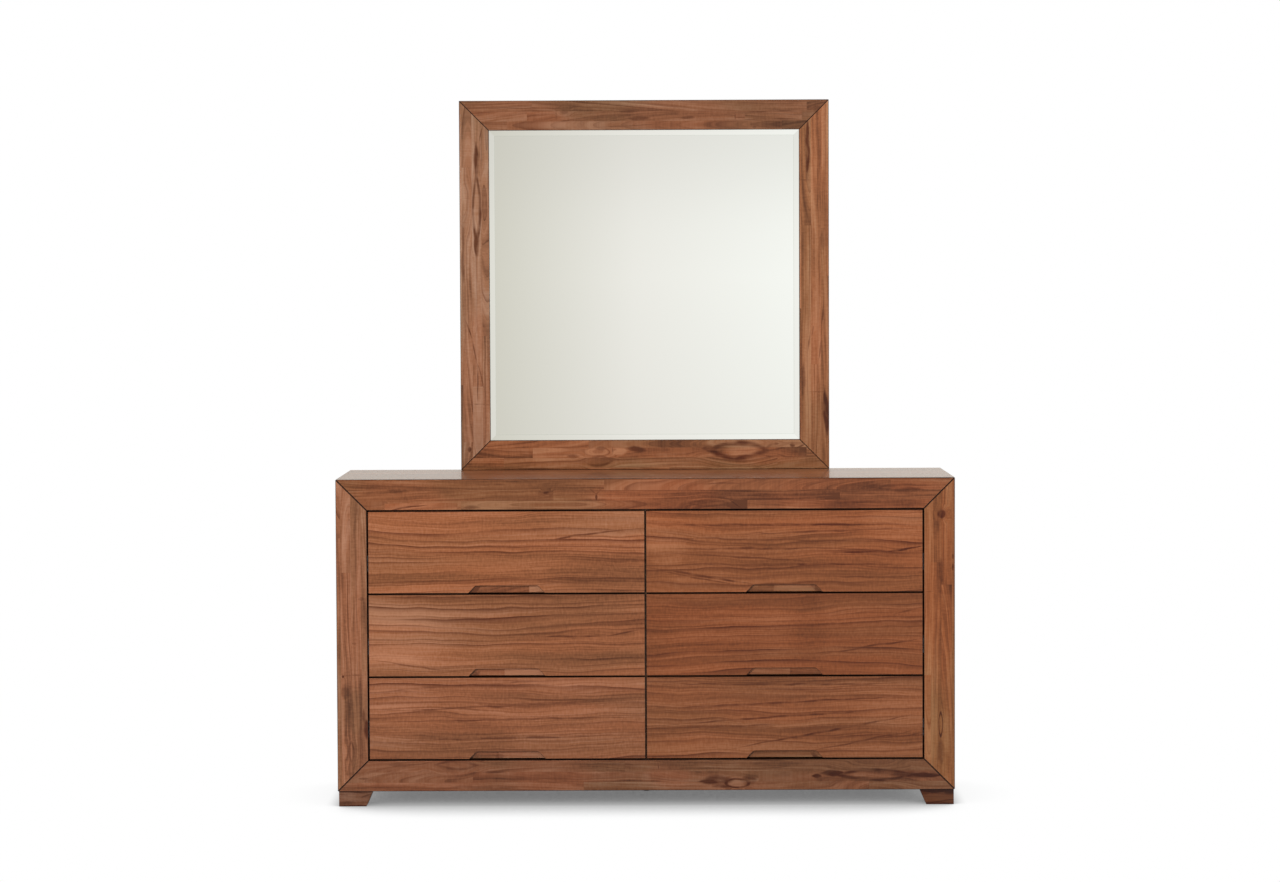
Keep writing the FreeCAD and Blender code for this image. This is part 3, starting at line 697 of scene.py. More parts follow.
def caseAndFrames():
    frameBack = frameHigh.y
    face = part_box("face_frame_left")
    faceWidth = face[1].x - face[0].x
    width, height = frameHigh.x - frameLow.x, caseTop - caseBottom
    mitredSet("face_frame", [(frontY, 0), (frontY, -faceWidth), (frameBack, -faceWidth), (frameBack, 0)],
              width, height, caseMiddle, woods["staveWood"], easeLook["frame"],
              easeLook["mitre"])
    backLow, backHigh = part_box("case_back")
    boardLow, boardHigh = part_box("case_left")
    board, let = boardHigh.x - boardLow.x, boardHigh.x - backLow.x
    mitredSet("case", [(frameBack, 0), (frameBack, -board), (backLow.y, -board), (backLow.y, let - board),
                       (backHigh.y, let - board), (backHigh.y, 0)],
              width, height, caseMiddle, woods["veneerWood"], easeLook["board"])


mirrorShape = {"rebate": 0.010, "lip": 0.012}


def mirrorFrame():
    low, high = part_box("mirror_frame_left")
    outerLow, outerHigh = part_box("mirror_frame_top")
    face = high.x - low.x
    lipY = low.y + mirrorShape["lip"]
    inner = mirrorShape["rebate"] - face
    mitredSet("mirror_frame",
              [(low.y, 0), (low.y, -face), (lipY, -face), (lipY, inner), (high.y, inner), (high.y, 0)],
              outerHigh.x - outerLow.x, high.z - low.z, (low.z + high.z) / 2,
              woods["staveWood"], easeLook["frame"])


caseAndFrames()
mirrorFrame()
print("case boards, face frame and mirror frame made")

# the finger pull's mouth is a low trapezium with round corners; its floor is larger by the undercut
pullShape = {"width": 0.197, "height": 0.0185, "run": 0.018, "radius": 0.009, "depth": 0.012,
             "undercut": 0.005, "cornerSteps": 8}


def pullEdge(grow):
    width, height, run = pullShape["width"], pullShape["height"], pullShape["run"]
    topHalf, topZ = width / 2 - run + grow, height + grow
    slope = math.atan2(height, run)
    radius = pullShape["radius"] + grow
    centreX, centreZ = topHalf - radius * math.tan(slope / 2), topZ - radius
    half = [(topHalf + topZ * run / height, 0.0)]
    steps = pullShape["cornerSteps"]
    for step in range(steps + 1):
        angle = math.pi / 2 - slope + slope * step / steps
        half.append((centreX + radius * math.cos(angle), centreZ + radius * math.sin(angle)))
    return [(-x, z) for x, z in half] + [(x, z) for x, z in reversed(half)]


def drawerFront(row, column):
    node = f"{row}_{column}_drawer_front"
    low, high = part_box(node)
    half, height, thick = (high.x - low.x) / 2, high.z - low.z, high.y - low.y
    depth = pullShape["depth"]
    mouth, floor = pullEdge(0.0), pullEdge(pullShape["undercut"])
    count = len(mouth)
    points = [(x, 0, z) for x, z in mouth] + [(x, depth, z) for x, z in floor]
    corner = len(points)
    points += [(-half, 0, 0), (half, 0, 0), (half, 0, height), (-half, 0, height),
               (-half, thick, 0), (half, thick, 0), (half, thick, height), (-half, thick, height)]
    faces = [(corner, *range(count), corner + 1, corner + 2, corner + 3),
             (corner + 4, corner + 5, corner + 6, corner + 7),
             (corner, corner + 3, corner + 7, corner + 4), (corner + 1, corner + 2, corner + 6, corner + 5),
             (corner + 2, corner + 3, corner + 7, corner + 6),
             (corner, 0, count, 2 * count - 1, count - 1, corner + 1, corner + 5, corner + 4)]
    pocket = [(index, index + 1, count + index + 1, count + index) for index in range(count - 1)]
    pocket.append(tuple(range(count, 2 * count)))
    bm = meshFrom(points, faces + pocket)
    bm.faces.ensure_lookup_table()
    for face in bm.faces[len(faces):]:
        face.material_index = 1
    piece = pieceFrom(f"{row}_{column}_frontWood", bm, [markedWoods["drawer_fronts"], markedWoods["pulls"]])
    ease(piece, easeLook["front"], glazeAndShadeLook["front"], easeLook["segments"])
    giveGrain(piece, 0, 2, tint=boardTintsAndShade[node])
    # painted shade on the front's sides, top and bottom, which face the gaps
    darken(piece, glazeAndShadeLook["gap"],
           lambda face: face.material_index == 0 and abs(face.normal.y) < 1 - squareOn)
    place = Matrix.Translation(((low.x + high.x) / 2, low.y, low.z))
    settle(piece, f"{row}_{column}_drawer", [node], place)


for row in rows:
    for column in columns:
        drawerFront(row, column)
print("drawer fronts made")

mergeLook = {"distance": 1e-6, "angle": math.radians(1)}


def mergedCopy(node):  # a CAD piece with its corners joined and its flat faces whole
    bm = bmesh.new()
    bm.from_mesh(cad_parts[node].data)
    bmesh.ops.remove_doubles(bm, verts=bm.verts, dist=mergeLook["distance"])
    bmesh.ops.dissolve_limit(bm, angle_limit=mergeLook["angle"], verts=bm.verts, edges=bm.edges)
    for face in bm.faces:
        face.smooth = True
    return bm


def easedCopy(node, body, material, along, across, easing):
    piece = pieceFrom(node + "Wood", mergedCopy(node), [material])
    ease(piece, easing, glazeAndShadeLook["board"])
    giveGrain(piece, along, across, tint=boardTintsAndShade.get(node, (0, 0, 0)))
    return settle(piece, body, [node])


def plainBoards():
    for column in columns:
        for end in ("front", "rear"):
            wood = markedWoods.get(f"{end}_foot", woods["staveWood"])
            easedCopy(f"{end}_{column}_foot", "case", wood, 0, 2, easeLook["frame"])
        easedCopy(f"{column}_mirror_post", "case", woods["plainWood"], 2, 0, easeLook["board"])
    for node, along, across in (("rear_rails", 0, 2), ("centre_partition", 1, 2), ("slide_battens", 1, 2),
                                ("centre_leg", 2, 0)):
        easedCopy(node, "case", woods["plainWood"], along, across, easeLook["inner"])
    for node, along, across in (("case_back", 0, 2), ("mirror_backing", 2, 0)):
        easedCopy(node, "case", woods["backBoard"], along, across, easeLook["sheet"])


plainBoards()
print("plain boards made")

# steels, for the slides, their balls and cages, and the screws: name, colour, roughness and mottle
steelLook = {"shades": (0.35, 0.65), "darker": 0.82, "rubbing": (900, 25, 900), "rubbed": 0.22,
             "bump": (0.15, 0.0001),
             "finishes": {"zinc": ("zincSteel", (0.66, 0.68, 0.70), 0.26, 140),
                          "screw": ("screwSteel", (0.58, 0.56, 0.50), 0.24, 400),
                          "ball": ("ballSteel", (0.78, 0.79, 0.80), 0.06, 300),
                          "brass": ("platedCage", (0.70, 0.62, 0.42), 0.30, 250)}}


def makeSteel(name, colour, roughness, mottle):
    made, tree, surface = newMaterial(name, {"Metallic": 1.0})
    place = placeOf(tree)
    cloud = noise(place, scale=mottle, detail=3)
    rub = noise(outOf(tree, "ShaderNodeMapping", {0: place, "Scale": steelLook["rubbing"]}), detail=2)
    darker = [part * steelLook["darker"] for part in colour]
    shade = mixColours(rangeOf(cloud, *steelLook["shades"]), (*darker, 1), (*colour, 1))
    setInputs(surface, {"Base Color": shade,
                        "Roughness": calc("MULTIPLY_ADD", rub, steelLook["rubbed"], roughness),
                        "Normal": bumpOf(rub, *steelLook["bump"])})
    return made


steels = {key: makeSteel(*finish) for key, finish in steelLook["finishes"].items()}


# what repeats is set out by one node tree: a shape at each point, turned, spun and given its finish
def makeScatterTree():
    tree = bpy.data.node_groups.new("scatter", "GeometryNodeTree")
    face = tree.interface
    takes = {"Points": "Geometry", "Shape": "Object", "Size": "Float", "Turn": "Vector", "Spin": "Float",
             "Seed": "Int", "Finish": "Material"}
    for name, kind in takes.items():
        face.new_socket(name=name, in_out="INPUT", socket_type="NodeSocket" + kind)
    face.new_socket(name="Result", in_out="OUTPUT", socket_type="NodeSocketGeometry")
    sockets = tree.nodes.new("NodeGroupInput").outputs
    given = {name: nodeValue(sockets[name]) for name in takes}
    shape = outOf(tree, "GeometryNodeObjectInfo", {"Object": given["Shape"]}, "Geometry")
    turn = outOf(tree, "FunctionNodeEulerToRotation", {0: given["Turn"]})
    spread = outOf(tree, "GeometryNodeInstanceOnPoints",
                   {"Points": given["Points"], "Instance": shape, "Rotation": turn, "Scale": given["Size"]})
    chance = outOf(tree, "FunctionNodeRandomValue", {3: given["Spin"], "Seed": given["Seed"]}, 1,
                   data_type="FLOAT")
    spin = outOf(tree, "ShaderNodeCombineXYZ", {2: chance})
    turned = outOf(tree, "GeometryNodeRotateInstances",
                   {"Instances": spread, "Rotation": spin, "Local Space": True})
    real = outOf(tree, "GeometryNodeRealizeInstances", {0: turned})
    painted = outOf(tree, "GeometryNodeSetMaterial", {"Geometry": real, "Material": given["Finish"]})
    addNode(tree, "NodeGroupOutput", {0: painted})
    return tree


scatterTree = makeScatterTree()
quarter = math.pi / 2
turns = {"up": (0, 0, 0), "back": (-quarter, 0, 0), "backUpright": (-quarter, quarter, 0),
         "right": (0, quarter, 0), "left": (0, -quarter, 0)}


def scatter(name, places, shape, body="case", finish="screw", turn="up", size=1.0, nodes=()):
    mesh = bpy.data.meshes.new(name)
    mesh.from_pydata([tuple(place) for place in places], [], [])
    piece = link(name, mesh)
    modifier = piece.modifiers.new("scatter", "NODES")
    modifier.node_group = scatterTree
    driven = fastenerLook.get(shape, {}).get("recess")  # what is driven in ends at any angle
    wanted = {"Shape": shapes[shape], "Size": size, "Turn": turns[turn], "Finish": steels[finish],
              "Spin": fastenerLook["spin"] if driven else 0.0, "Seed": fastenerLook["seed"]}
    for socket in scatterTree.interface.items_tree:
        if socket.name in wanted:
            modifier[socket.identifier] = wanted[socket.name]
    applyModifiers(piece)
    return settle(piece, body, nodes)


def slab(name, first, second, materials=()):  # a solid between two outlines with as many corners
    return pieceFrom(name, meshFrom([*first, *second], prismFaces(len(first))), materials)


def lathe(name, profile, steps, material=None):
    bm = bmesh.new()
    rings = []
    for radius, z in profile:
        if radius == 0:
            rings.append([bm.verts.new((0, 0, z))] * steps)
            continue
        angles = [2 * math.pi * step / steps for step in range(steps)]
        places = [(radius * math.cos(angle), radius * math.sin(angle), z) for angle in angles]
        rings.append([bm.verts.new(place) for place in places])
    for lower, upper in zip(rings, rings[1:]):
        for step in range(steps):
            after = (step + 1) % steps
            corners = [lower[step], lower[after], upper[after], upper[step]]
            face = bm.faces.new(list(dict.fromkeys(corners)))
            face.smooth = True
    bmesh.ops.recalc_face_normals(bm, faces=bm.faces)
    return pieceFrom(name, bm, [material] if material else [])


def cutFrom(piece, cutter):
    cut = piece.modifiers.new("cut", "BOOLEAN")
    cut.object = cutter
    cut.solver = "EXACT"
    applyModifiers(piece)
    bpy.data.objects.remove(cutter)


def crossRecess(piece, length, width, depth, top):
    rings = []
    for z, grow in zip((top - depth, top + depth), fastenerLook["taper"]):
        ring = []
        for turn in range(4):
            turned = Matrix.Rotation(turn * math.pi / 2, 4, "Z")
            for along, across in ((width, -width), (length * grow, -width), (length * grow, width)):
                ring.append(turned @ Vector((along / 2, across / 2, z)))
        rings.append(ring)
    cutFrom(piece, slab("recessCutter", *rings))


# fastener shapes stand on the surface at z = 0 and look along +Z; recess is length, width, depth
fastenerLook = {"steps": 16, "foot": 0.0003, "spin": 3.1, "seed": 11, "taper": (0.55, 1.35),
                "dome": ((1, 0.25), (0.93, 0.62), (0.72, 0.88), (0.4, 1), (0, 1)),
                "screw": {"head": 0.0040, "rise": 0.0022, "recess": (0.0046, 0.0011, 0.0013)},
                "pan": {"head": 0.0036, "rise": 0.0019, "recess": (0.0040, 0.0010, 0.0011)},
                "flat": {"head": 0.0036, "rise": 0.0004, "recess": (0.0040, 0.0010, 0.0005)},
                "post": {"head": 0.0050, "rise": 0.0022, "recess": (0.0056, 0.0013, 0.0015)},
                "pin": {"head": 0.0011, "rise": 0.0004, "recess": None},
                "staple": {"span": 0.0110, "wire": 0.0010, "rise": 0.0005, "shoulder": 0.4}}


def headShape(name):
    look = fastenerLook[name]
    head, rise, foot = look["head"], look["rise"], -fastenerLook["foot"]
    profile = [(0, foot), (head, foot)] + [(head * out, rise * up) for out, up in fastenerLook["dome"]]
    made = lathe(name + "Shape", profile, fastenerLook["steps"])
    if look["recess"]:
        crossRecess(made, *look["recess"], rise)
    return made


def ballShape():
    bm = bmesh.new()
    bmesh.ops.create_icosphere(bm, subdivisions=2, radius=1)
    for face in bm.faces:
        face.smooth = True
    return pieceFrom("ballShape", bm, [])


def stapleShape():
    look = fastenerLook["staple"]
    half, wire, rise, foot = look["span"] / 2, look["wire"] / 2, look["rise"], -fastenerLook["foot"]
    shoulder = rise * look["shoulder"]
    crown = [(-half, foot), (half, foot), (half, shoulder), (half - rise, rise), (rise - half, rise),
             (-half, shoulder)]
    return slab("stapleShape", [(x, -wire, z) for x, z in crown], [(x, wire, z) for x, z in crown])


shapes = {name: headShape(name) for name in ("screw", "pan", "flat", "post", "pin")}
shapes.update({"ball": ballShape(), "staple": stapleShape()})
print("fastener shapes made")

# drawer boxes: boards with through dovetails and a groove for the bottom
boxLook = {"board": 0.012, "tails": 4, "share": 0.62, "flare": 0.0022,
           "screwsAt": (-0.25, -0.085, 0.085, 0.25), "screwUp": 0.045, "screwDown": 0.030}


def boxBoards():
    low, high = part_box("top_left_drawer_box")
    bottomLow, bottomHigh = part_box("top_left_drawer_bottom")
    width, length, height = high - low
    thick, pitch = boxLook["board"], height / boxLook["tails"]
    middles = [(index + 0.5) * pitch for index in range(boxLook["tails"])]
    root, wide = pitch * boxLook["share"] / 2, pitch * boxLook["share"] / 2 + boxLook["flare"]
    tails = [point for z in middles for point in ((length - thick, z - root), (length, z - wide),
                                                  (length, z + wide), (length - thick, z + root))]
    outline = [(thick, 0), (length - thick, 0), *tails, (length - thick, height), (thick, height)]
    outline += [(length - y, z) for y, z in reversed(tails)]
    side = slab("boxSideShape", *[[(x, y, z) for y, z in outline] for x in (0, thick)], [woods["boxWood"]])

    def comb(y, reach):
        right = [point for z in middles for point in ((width, z - reach), (width - thick, z - reach),
                                                      (width - thick, z + reach), (width, z + reach))]
        corners = [(0, 0), (width, 0), *right, (width, height), (0, height)]
        return [(x, y, z) for x, z in corners + [(width - x, z) for x, z in reversed(right)]]

    end = slab("boxEndShape", comb(0, wide), comb(thick, root), [woods["boxWood"]])
    let, grooveLow, grooveHigh = bottomLow.x - low.x, bottomLow.z - low.z, bottomHigh.z - low.z
    grooves = {side: (let, 2 * thick, let, length - let), end: (let, width - let, let, 2 * thick)}
    for board, (x0, x1, y0, y1) in grooves.items():
        rim = [(x0, y0), (x1, y0), (x1, y1), (x0, y1)]
        cutFrom(board, slab("grooveCutter", *[[(x, y, z) for x, y in rim] for z in (grooveLow, grooveHigh)]))
        ease(board, easeLook["box"], glazeAndShadeLook["box"])
    return {"side": side, "end": end}


def placedCopy(name, shape, offset, turned=False):
    mesh = shape.data.copy()
    if turned:
        spans = [[vertex.co[axis] for vertex in mesh.vertices] for axis in (0, 1)]
        centre = Vector((*((min(span) + max(span)) / 2 for span in spans), 0))
        mesh.transform(Matrix.Translation(centre) @ Matrix.Rotation(math.pi, 4, "Z")
                       @ Matrix.Translation(-centre))
    mesh.transform(Matrix.Translation(offset))
    return link(name, mesh)


def drawerBox(row, column, boards):
    body = f"{row}_{column}_drawer"
    low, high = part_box(f"{body}_box")
    thick = boxLook["board"]
    farSide, rearEnd = Vector((high.x - thick, low.y, low.z)), Vector((low.x, high.y - thick, low.z))
    for name, kind, offset, turned in (
            ("boxNearSide", "side", low, False), ("boxFarSide", "side", farSide, True),
            ("boxFrontEnd", "end", low, False), ("boxRearEnd", "end", rearEnd, True)):
        piece = placedCopy(f"{row}_{column}_{name}", boards[kind], offset, turned)
        giveGrain(piece, 1 if kind == "side" else 0, 2, endGlaze=glazeAndShadeLook["endGrain"])
        settle(piece, body, [f"{body}_box"])
    easedCopy(f"{body}_bottom", body, woods["boxPly"], 0, 1, easeLook["sheet"])
    middle, heights = (low.x + high.x) / 2, (low.z + boxLook["screwUp"], high.z - boxLook["screwDown"])
    spots = [(middle + x, low.y + thick, z) for x in boxLook["screwsAt"] for z in heights]
    scatter(f"{row}_{column}_frontScrews", spots, "screw", body, turn="back")


boards = boxBoards()
for row in rows:
    for column in columns:
        drawerBox(row, column, boards)
for shape in boards.values():
    bpy.data.objects.remove(shape)
print("drawer boxes made")

# slides: three telescopic members, rows of balls in cages, screws
slideLook = {"ease": 0.00045, "easeAngle": math.radians(35), "sheet": 0.0012, "standoff": 0.0020,
             "screwsAt": (0.035, 0.165, 0.330), "holesAt": (0.060, 0.200, 0.340), "hole": 0.0035,
             "holeRun": 0.007, "holeSteps": 10, "strip": 0.0010, "stripEase": 0.0002,
             "ballPitch": 0.0075, "endMargin": 0.0040}


def islands(bm):
    seen, found = set(), []
    for first in bm.verts:
        if first in seen:
            continue
        seen.add(first)
        island = [first]
        for vertex in island:
            for edge in vertex.link_edges:
                other = edge.other_vert(vertex)
                if other not in seen:
                    seen.add(other)
                    island.append(other)
        found.append(island)
    return found


def boxOf(vertices):
    spans = [[vertex.co[axis] for vertex in vertices] for axis in range(3)]
    return [Vector([pick(span) for span in spans]) for pick in (min, max)]


def easeSteel(piece, width):
    bevel = piece.modifiers.new("ease", "BEVEL")
    bevel.width = width
    bevel.segments = 2
    bevel.angle_limit = slideLook["easeAngle"]
    applyModifiers(piece)
    for face in piece.data.polygons:
        face.use_smooth = False


def roundedSlots(places, radius, run, halfThick):
    points, faces = [], []
    steps = slideLook["holeSteps"]
    for x, y, z in places:
        first = len(points)
        for side in (-halfThick, halfThick):
            for end in (-1, 1):
                for step in range(steps + 1):
                    angle = math.pi * step / steps - math.pi / 2 + (math.pi if end < 0 else 0)
                    points.append((x + side, y + end * run / 2 + radius * math.cos(angle),
                                   z + radius * math.sin(angle)))
        faces += prismFaces(2 * (steps + 1), first)
    return pieceFrom("slotCutter", meshFrom(points, faces), [])


def middleMembers(row, column):
    node, body = f"{row}_{column}_slide_middle", f"{row}_{column}_slides"
    low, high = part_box(node)
    level, longCage = (low.z + high.z) / 2, (high.y - low.y) / 2
    bm = mergedCopy(node)
    cages = []
    for island in islands(bm):
        cageLow, cageHigh = boxOf(island)
        if cageHigh.y - cageLow.y < longCage:  # the rest are the steel members
            cages.append((cageLow, cageHigh))
            bmesh.ops.delete(bm, geom=island, context="VERTS")
    piece = pieceFrom(f"{row}_{column}_slideMiddleSteel", bm, [steels["zinc"]])
    webs = (low.x + slideLook["sheet"] / 2, high.x - slideLook["sheet"] / 2)
    places = [(x, low.y + y, level) for x in webs for y in slideLook["holesAt"]]
    cutFrom(piece, roundedSlots(places, slideLook["hole"], slideLook["holeRun"], slideLook["sheet"]))
    easeSteel(piece, slideLook["ease"])
    settle(piece, body, [node])
    points, faces, balls = [], [], {}
    for low, high in cages:
        level, half = (low.z + high.z) / 2, slideLook["strip"] / 2
        first = len(points)
        points += [(x, y, z) for x in (low.x, high.x) for y in (low.y, high.y)
                   for z in (level - half, level + half)]
        faces += [[first + index for index in side] for side in ((0, 1, 3, 2), (4, 6, 7, 5), (0, 4, 5, 1),
                                                                 (2, 3, 7, 6), (0, 2, 6, 4), (1, 5, 7, 3))]
        radius = round((high.z - low.z) / 2, 5)
        margin, count = slideLook["endMargin"], round((high.y - low.y) / slideLook["ballPitch"])
        x, span = (low.x + high.x) / 2, high.y - low.y - 2 * margin
        spots = [(x, low.y + margin + span * step / (count - 1), level) for step in range(count)]
        balls.setdefault(radius, []).extend(spots)
    strips = pieceFrom(f"{row}_{column}_ballCages", meshFrom(points, faces), [steels["brass"]])
    easeSteel(strips, slideLook["stripEase"])
    settle(strips, body, [node])
    for number, (radius, spots) in enumerate(sorted(balls.items())):
        scatter(f"{row}_{column}_balls{number}", spots, "ball", body, "ball", size=radius, nodes=[node])


def slideSteel(node, body, name):
    piece = pieceFrom(name, mergedCopy(node), [steels["zinc"]])
    easeSteel(piece, slideLook["ease"])
    settle(piece, body, [node])


def slides():
    slideSteel("slide_outers", "case", "slideOutersSteel")
    wallScrews = {"left": [], "right": []}
    for row in rows:
        for column in columns:
            name, body = f"{row}_{column}", f"{row}_{column}_drawer"
            middleMembers(row, column)
            slideSteel(f"{name}_slide_inner", body, f"{name}_slideInnerSteel")
            low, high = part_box(f"{body}_box")
            steelLow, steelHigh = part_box(f"{name}_slide_middle")
            level, sheet = (steelLow.z + steelHigh.z) / 2, slideLook["sheet"]
            at = [steelLow.y + y for y in slideLook["screwsAt"]]
            for turn, x in (("left", low.x - sheet), ("right", high.x + sheet)):
                scatter(f"{name}_slideScrews_{turn}", [(x, y, level) for y in at], "pan", body, turn=turn)
            wallScrews["right"] += [(steelLow.x - slideLook["standoff"] + sheet, y, level) for y in at]
            wallScrews["left"] += [(steelHigh.x + slideLook["standoff"] - sheet, y, level) for y in at]
    for turn, spots in wallScrews.items():
        scatter(f"wallScrews_{turn}", spots, "flat", turn=turn)


slides()
print("slides made")

# the case back is stapled into its rebate, the mirror backing is held by mitred beads
backLook = {"stapleEvery": 0.11, "stapleInset": 0.006, "firstStaple": 0.024, "bead": 0.009, "pinEvery": 0.14,
            "firstPin": 0.04}


def evenly(low, high, inset, every):
    low, high = low + inset, high - inset
    count = max(2, round((high - low) / every) + 1)
    return [low + (high - low) * index / (count - 1) for index in range(count)]


def backPieces():
    low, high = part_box("case_back")
    inset, first, every = backLook["stapleInset"], backLook["firstStaple"], backLook["stapleEvery"]
    across, upright = evenly(low.x, high.x, first, every), evenly(low.z, high.z, first, every)
    level = [(x, high.y, z) for x in across for z in (low.z + inset, high.z - inset)]
    scatter("backStaplesLevel", level, "staple", turn="back")
    sides = [(x, high.y, z) for x in (low.x + inset, high.x - inset) for z in upright]
    scatter("backStaplesUpright", sides, "staple", turn="backUpright")
    low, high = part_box("backing_beads")
    middle, length, thick = (low.z + high.z) / 2, high.x - low.x, backLook["bead"]
    section = [(low.y, 0), (low.y, -thick), (high.y, -thick), (high.y, 0)]
    for side, turn in sideTurns.items():
        bead = mitredBoard(f"backingBead{side.title()}", section, length, woods["plainWood"])
        ease(bead, easeLook["inner"], glazeAndShadeLook["board"])
        giveGrain(bead, 0, 2)
        settle(bead, "case", ["backing_beads"], ringPlace(middle, turn, length / 2))
    rim, at = thick / 2, evenly(low.x, high.x, backLook["firstPin"], backLook["pinEvery"])
    pins = [(x, high.y, z) for x in at for z in (low.z + rim, high.z - rim)]
    pins += [(x, high.y, middle + z) for x in (low.x + rim, high.x - rim) for z in at]
    scatter("beadPins", pins, "pin", turn="back")


def postScrews():
    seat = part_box("left_mirror_post")[1].y
    bm = mergedCopy("post_screws")
    middles = [sum(boxOf(island), Vector()) / 2 for island in islands(bm)]
    bm.free()
    scatter("postScrewHeads", [(middle.x, seat, middle.z) for middle in middles], "post", turn="back",
            nodes=["post_screws"])


footScrewLook = {"across": 0.017, "deep": 0.012}  # from the middle of the foot or the leg


def footScrews():  # driven down through the bottom board
    seat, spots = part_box("case_bottom")[1].z, []
    x, y = footScrewLook["across"], footScrewLook["deep"]
    for node in [f"{end}_{column}_foot" for end in ("front", "rear") for column in columns] + ["centre_leg"]:
        low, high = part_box(node)
        middle = (low + high) / 2
        spots += [(middle.x - x, middle.y - y, seat), (middle.x + x, middle.y + y, seat)]
    scatter("footScrews", spots, "screw")


# levelling glide under the centre leg: a moulded disc on a stem
glideLook = {"steps": 32, "rim": 0.0012, "underRim": 0.0018, "stem": 0.3, "colour": (0.022, 0.020, 0.019, 1),
             "grit": 1400, "roughness": (0.2, 0.42), "bump": (0.2, 0.0001)}


def glide():
    plastic, tree, surface = newMaterial("blackPlastic", {"Base Color": glideLook["colour"]})
    grit = noise(placeOf(tree), scale=glideLook["grit"], detail=2)
    setInputs(surface, {"Roughness": calc("MULTIPLY_ADD", grit, *glideLook["roughness"]),
                        "Normal": bumpOf(grit, *glideLook["bump"])})
    low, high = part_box("centre_glide")
    radius, rim = (high.x - low.x) / 2, glideLook["rim"]
    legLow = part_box("centre_leg")[0].z
    stem = radius * glideLook["stem"]
    profile = [(0, 0), (radius - rim, 0), (radius, rim), (radius, legLow - glideLook["underRim"]),
               (radius - rim, legLow - rim), (stem, legLow - rim), (stem, high.z), (0, high.z)]
    piece = lathe("glidePlastic", profile, glideLook["steps"], plastic)
    place = Matrix.Translation(((low.x + high.x) / 2, (low.y + high.y) / 2, low.z))
    settle(piece, "case", ["centre_glide"], place)


backPieces()
postScrews()
footScrews()
glide()
for shape in shapes.values():
    bpy.data.objects.remove(shape)
print("back, screws and glide made")

# mirror glass: a silvered plate with a polished bevel; silver seen through the wedge of the
# bevel looks tilted towards the middle, so the bevel's normals lean that way
mirrorLook = {"bevel": 0.023, "edge": 0.0025, "arris": 0.0011, "lean": math.radians(0.65),
              "silver": {"Base Color": (0.94, 0.955, 0.94, 1), "Metallic": 1.0, "Roughness": 0.01},
              "glassArris": {"Base Color": (0.80, 0.84, 0.80, 1), "Metallic": 1.0, "Roughness": 0.12},
              "glassEdge": {"Base Color": (0.30, 0.52, 0.42, 1), "Roughness": 0.25, "Coat Weight": 0.5}}


def mirrorPlate():
    finishes = [newMaterial(name, mirrorLook[name])[0] for name in ("silver", "glassArris", "glassEdge")]
    low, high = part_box("mirror_glass")
    middle, half = (low.z + high.z) / 2, high.x
    flat = half - mirrorLook["bevel"]
    rimY = high.y - mirrorLook["edge"]
    slope = (rimY - low.y) / mirrorLook["bevel"]
    arris = mirrorLook["arris"]
    rings = [(flat, low.y), (flat + arris, low.y + arris * slope), (half, rimY), (half, high.y)]
    corners = [(-1, -1), (1, -1), (1, 1), (-1, 1)]
    points = [(x * reach, y, middle + z * reach) for reach, y in rings for x, z in corners]
    faces = [(0, 1, 2, 3), (12, 15, 14, 13)]
    for ring in range(3):
        for index in range(4):
            after = (index + 1) % 4
            faces.append((4 * ring + index, 4 * ring + 4 + index, 4 * ring + 4 + after, 4 * ring + after))
    bm = meshFrom(points, faces)
    bm.faces.ensure_lookup_table()
    for number, face in enumerate(bm.faces):
        face.smooth = False
        face.material_index = 0 if number == 0 or 6 <= number < 10 else 1 if 2 <= number < 6 else 2
    piece = pieceFrom("mirrorPlate", bm, finishes)
    lean = math.sin(mirrorLook["lean"])
    normals = []
    for number, face in enumerate(piece.data.polygons):
        normal = face.normal.copy()
        if 2 <= number < 10:
            inward = Vector((-face.center.x, 0, middle - face.center.z))
            inward = Vector((inward.x, 0, 0)) if abs(inward.x) > abs(inward.z) else Vector((0, 0, inward.z))
            normal = (Vector((0, -1, 0)) + inward.normalized() * lean).normalized()
        normals += [normal] * face.loop_total
    piece.data.normals_split_custom_set(normals)
    settle(piece, "case", ["mirror_glass"])


mirrorPlate()
print("mirror glass made")

# camera: the place, the tilt and the lens of the view
viewLook = {"place": (0.017, frontY - 8.892, 1.371), "pitch": 2.730, "yaw": -0.190, "roll": 0.245,
            "focalPixels": 3450, "viewPixels": 1280, "sensor": 36, "sight": 100}


def setCamera():
    pitch, yaw, roll = (math.radians(viewLook[key]) for key in ("pitch", "yaw", "roll"))
    forward = Vector((math.sin(yaw) * math.cos(pitch), math.cos(yaw) * math.cos(pitch), -math.sin(pitch)))
    level = Vector((math.cos(yaw), -math.sin(yaw), 0))
    down = forward.cross(level)
    across = level * math.cos(roll) + down * math.sin(roll)
    drop = down * math.cos(roll) - level * math.sin(roll)
    data = bpy.data.cameras.new("camera")
    data.lens = viewLook["focalPixels"] * viewLook["sensor"] / viewLook["viewPixels"]
    data.sensor_width = viewLook["sensor"]
    data.clip_end = viewLook["sight"]
    made = link("camera", data)
    turn = Matrix((across, -drop, -forward)).transposed().to_4x4()
    made.matrix_world = Matrix.Translation(viewLook["place"]) @ turn
    bpy.context.scene.camera = made


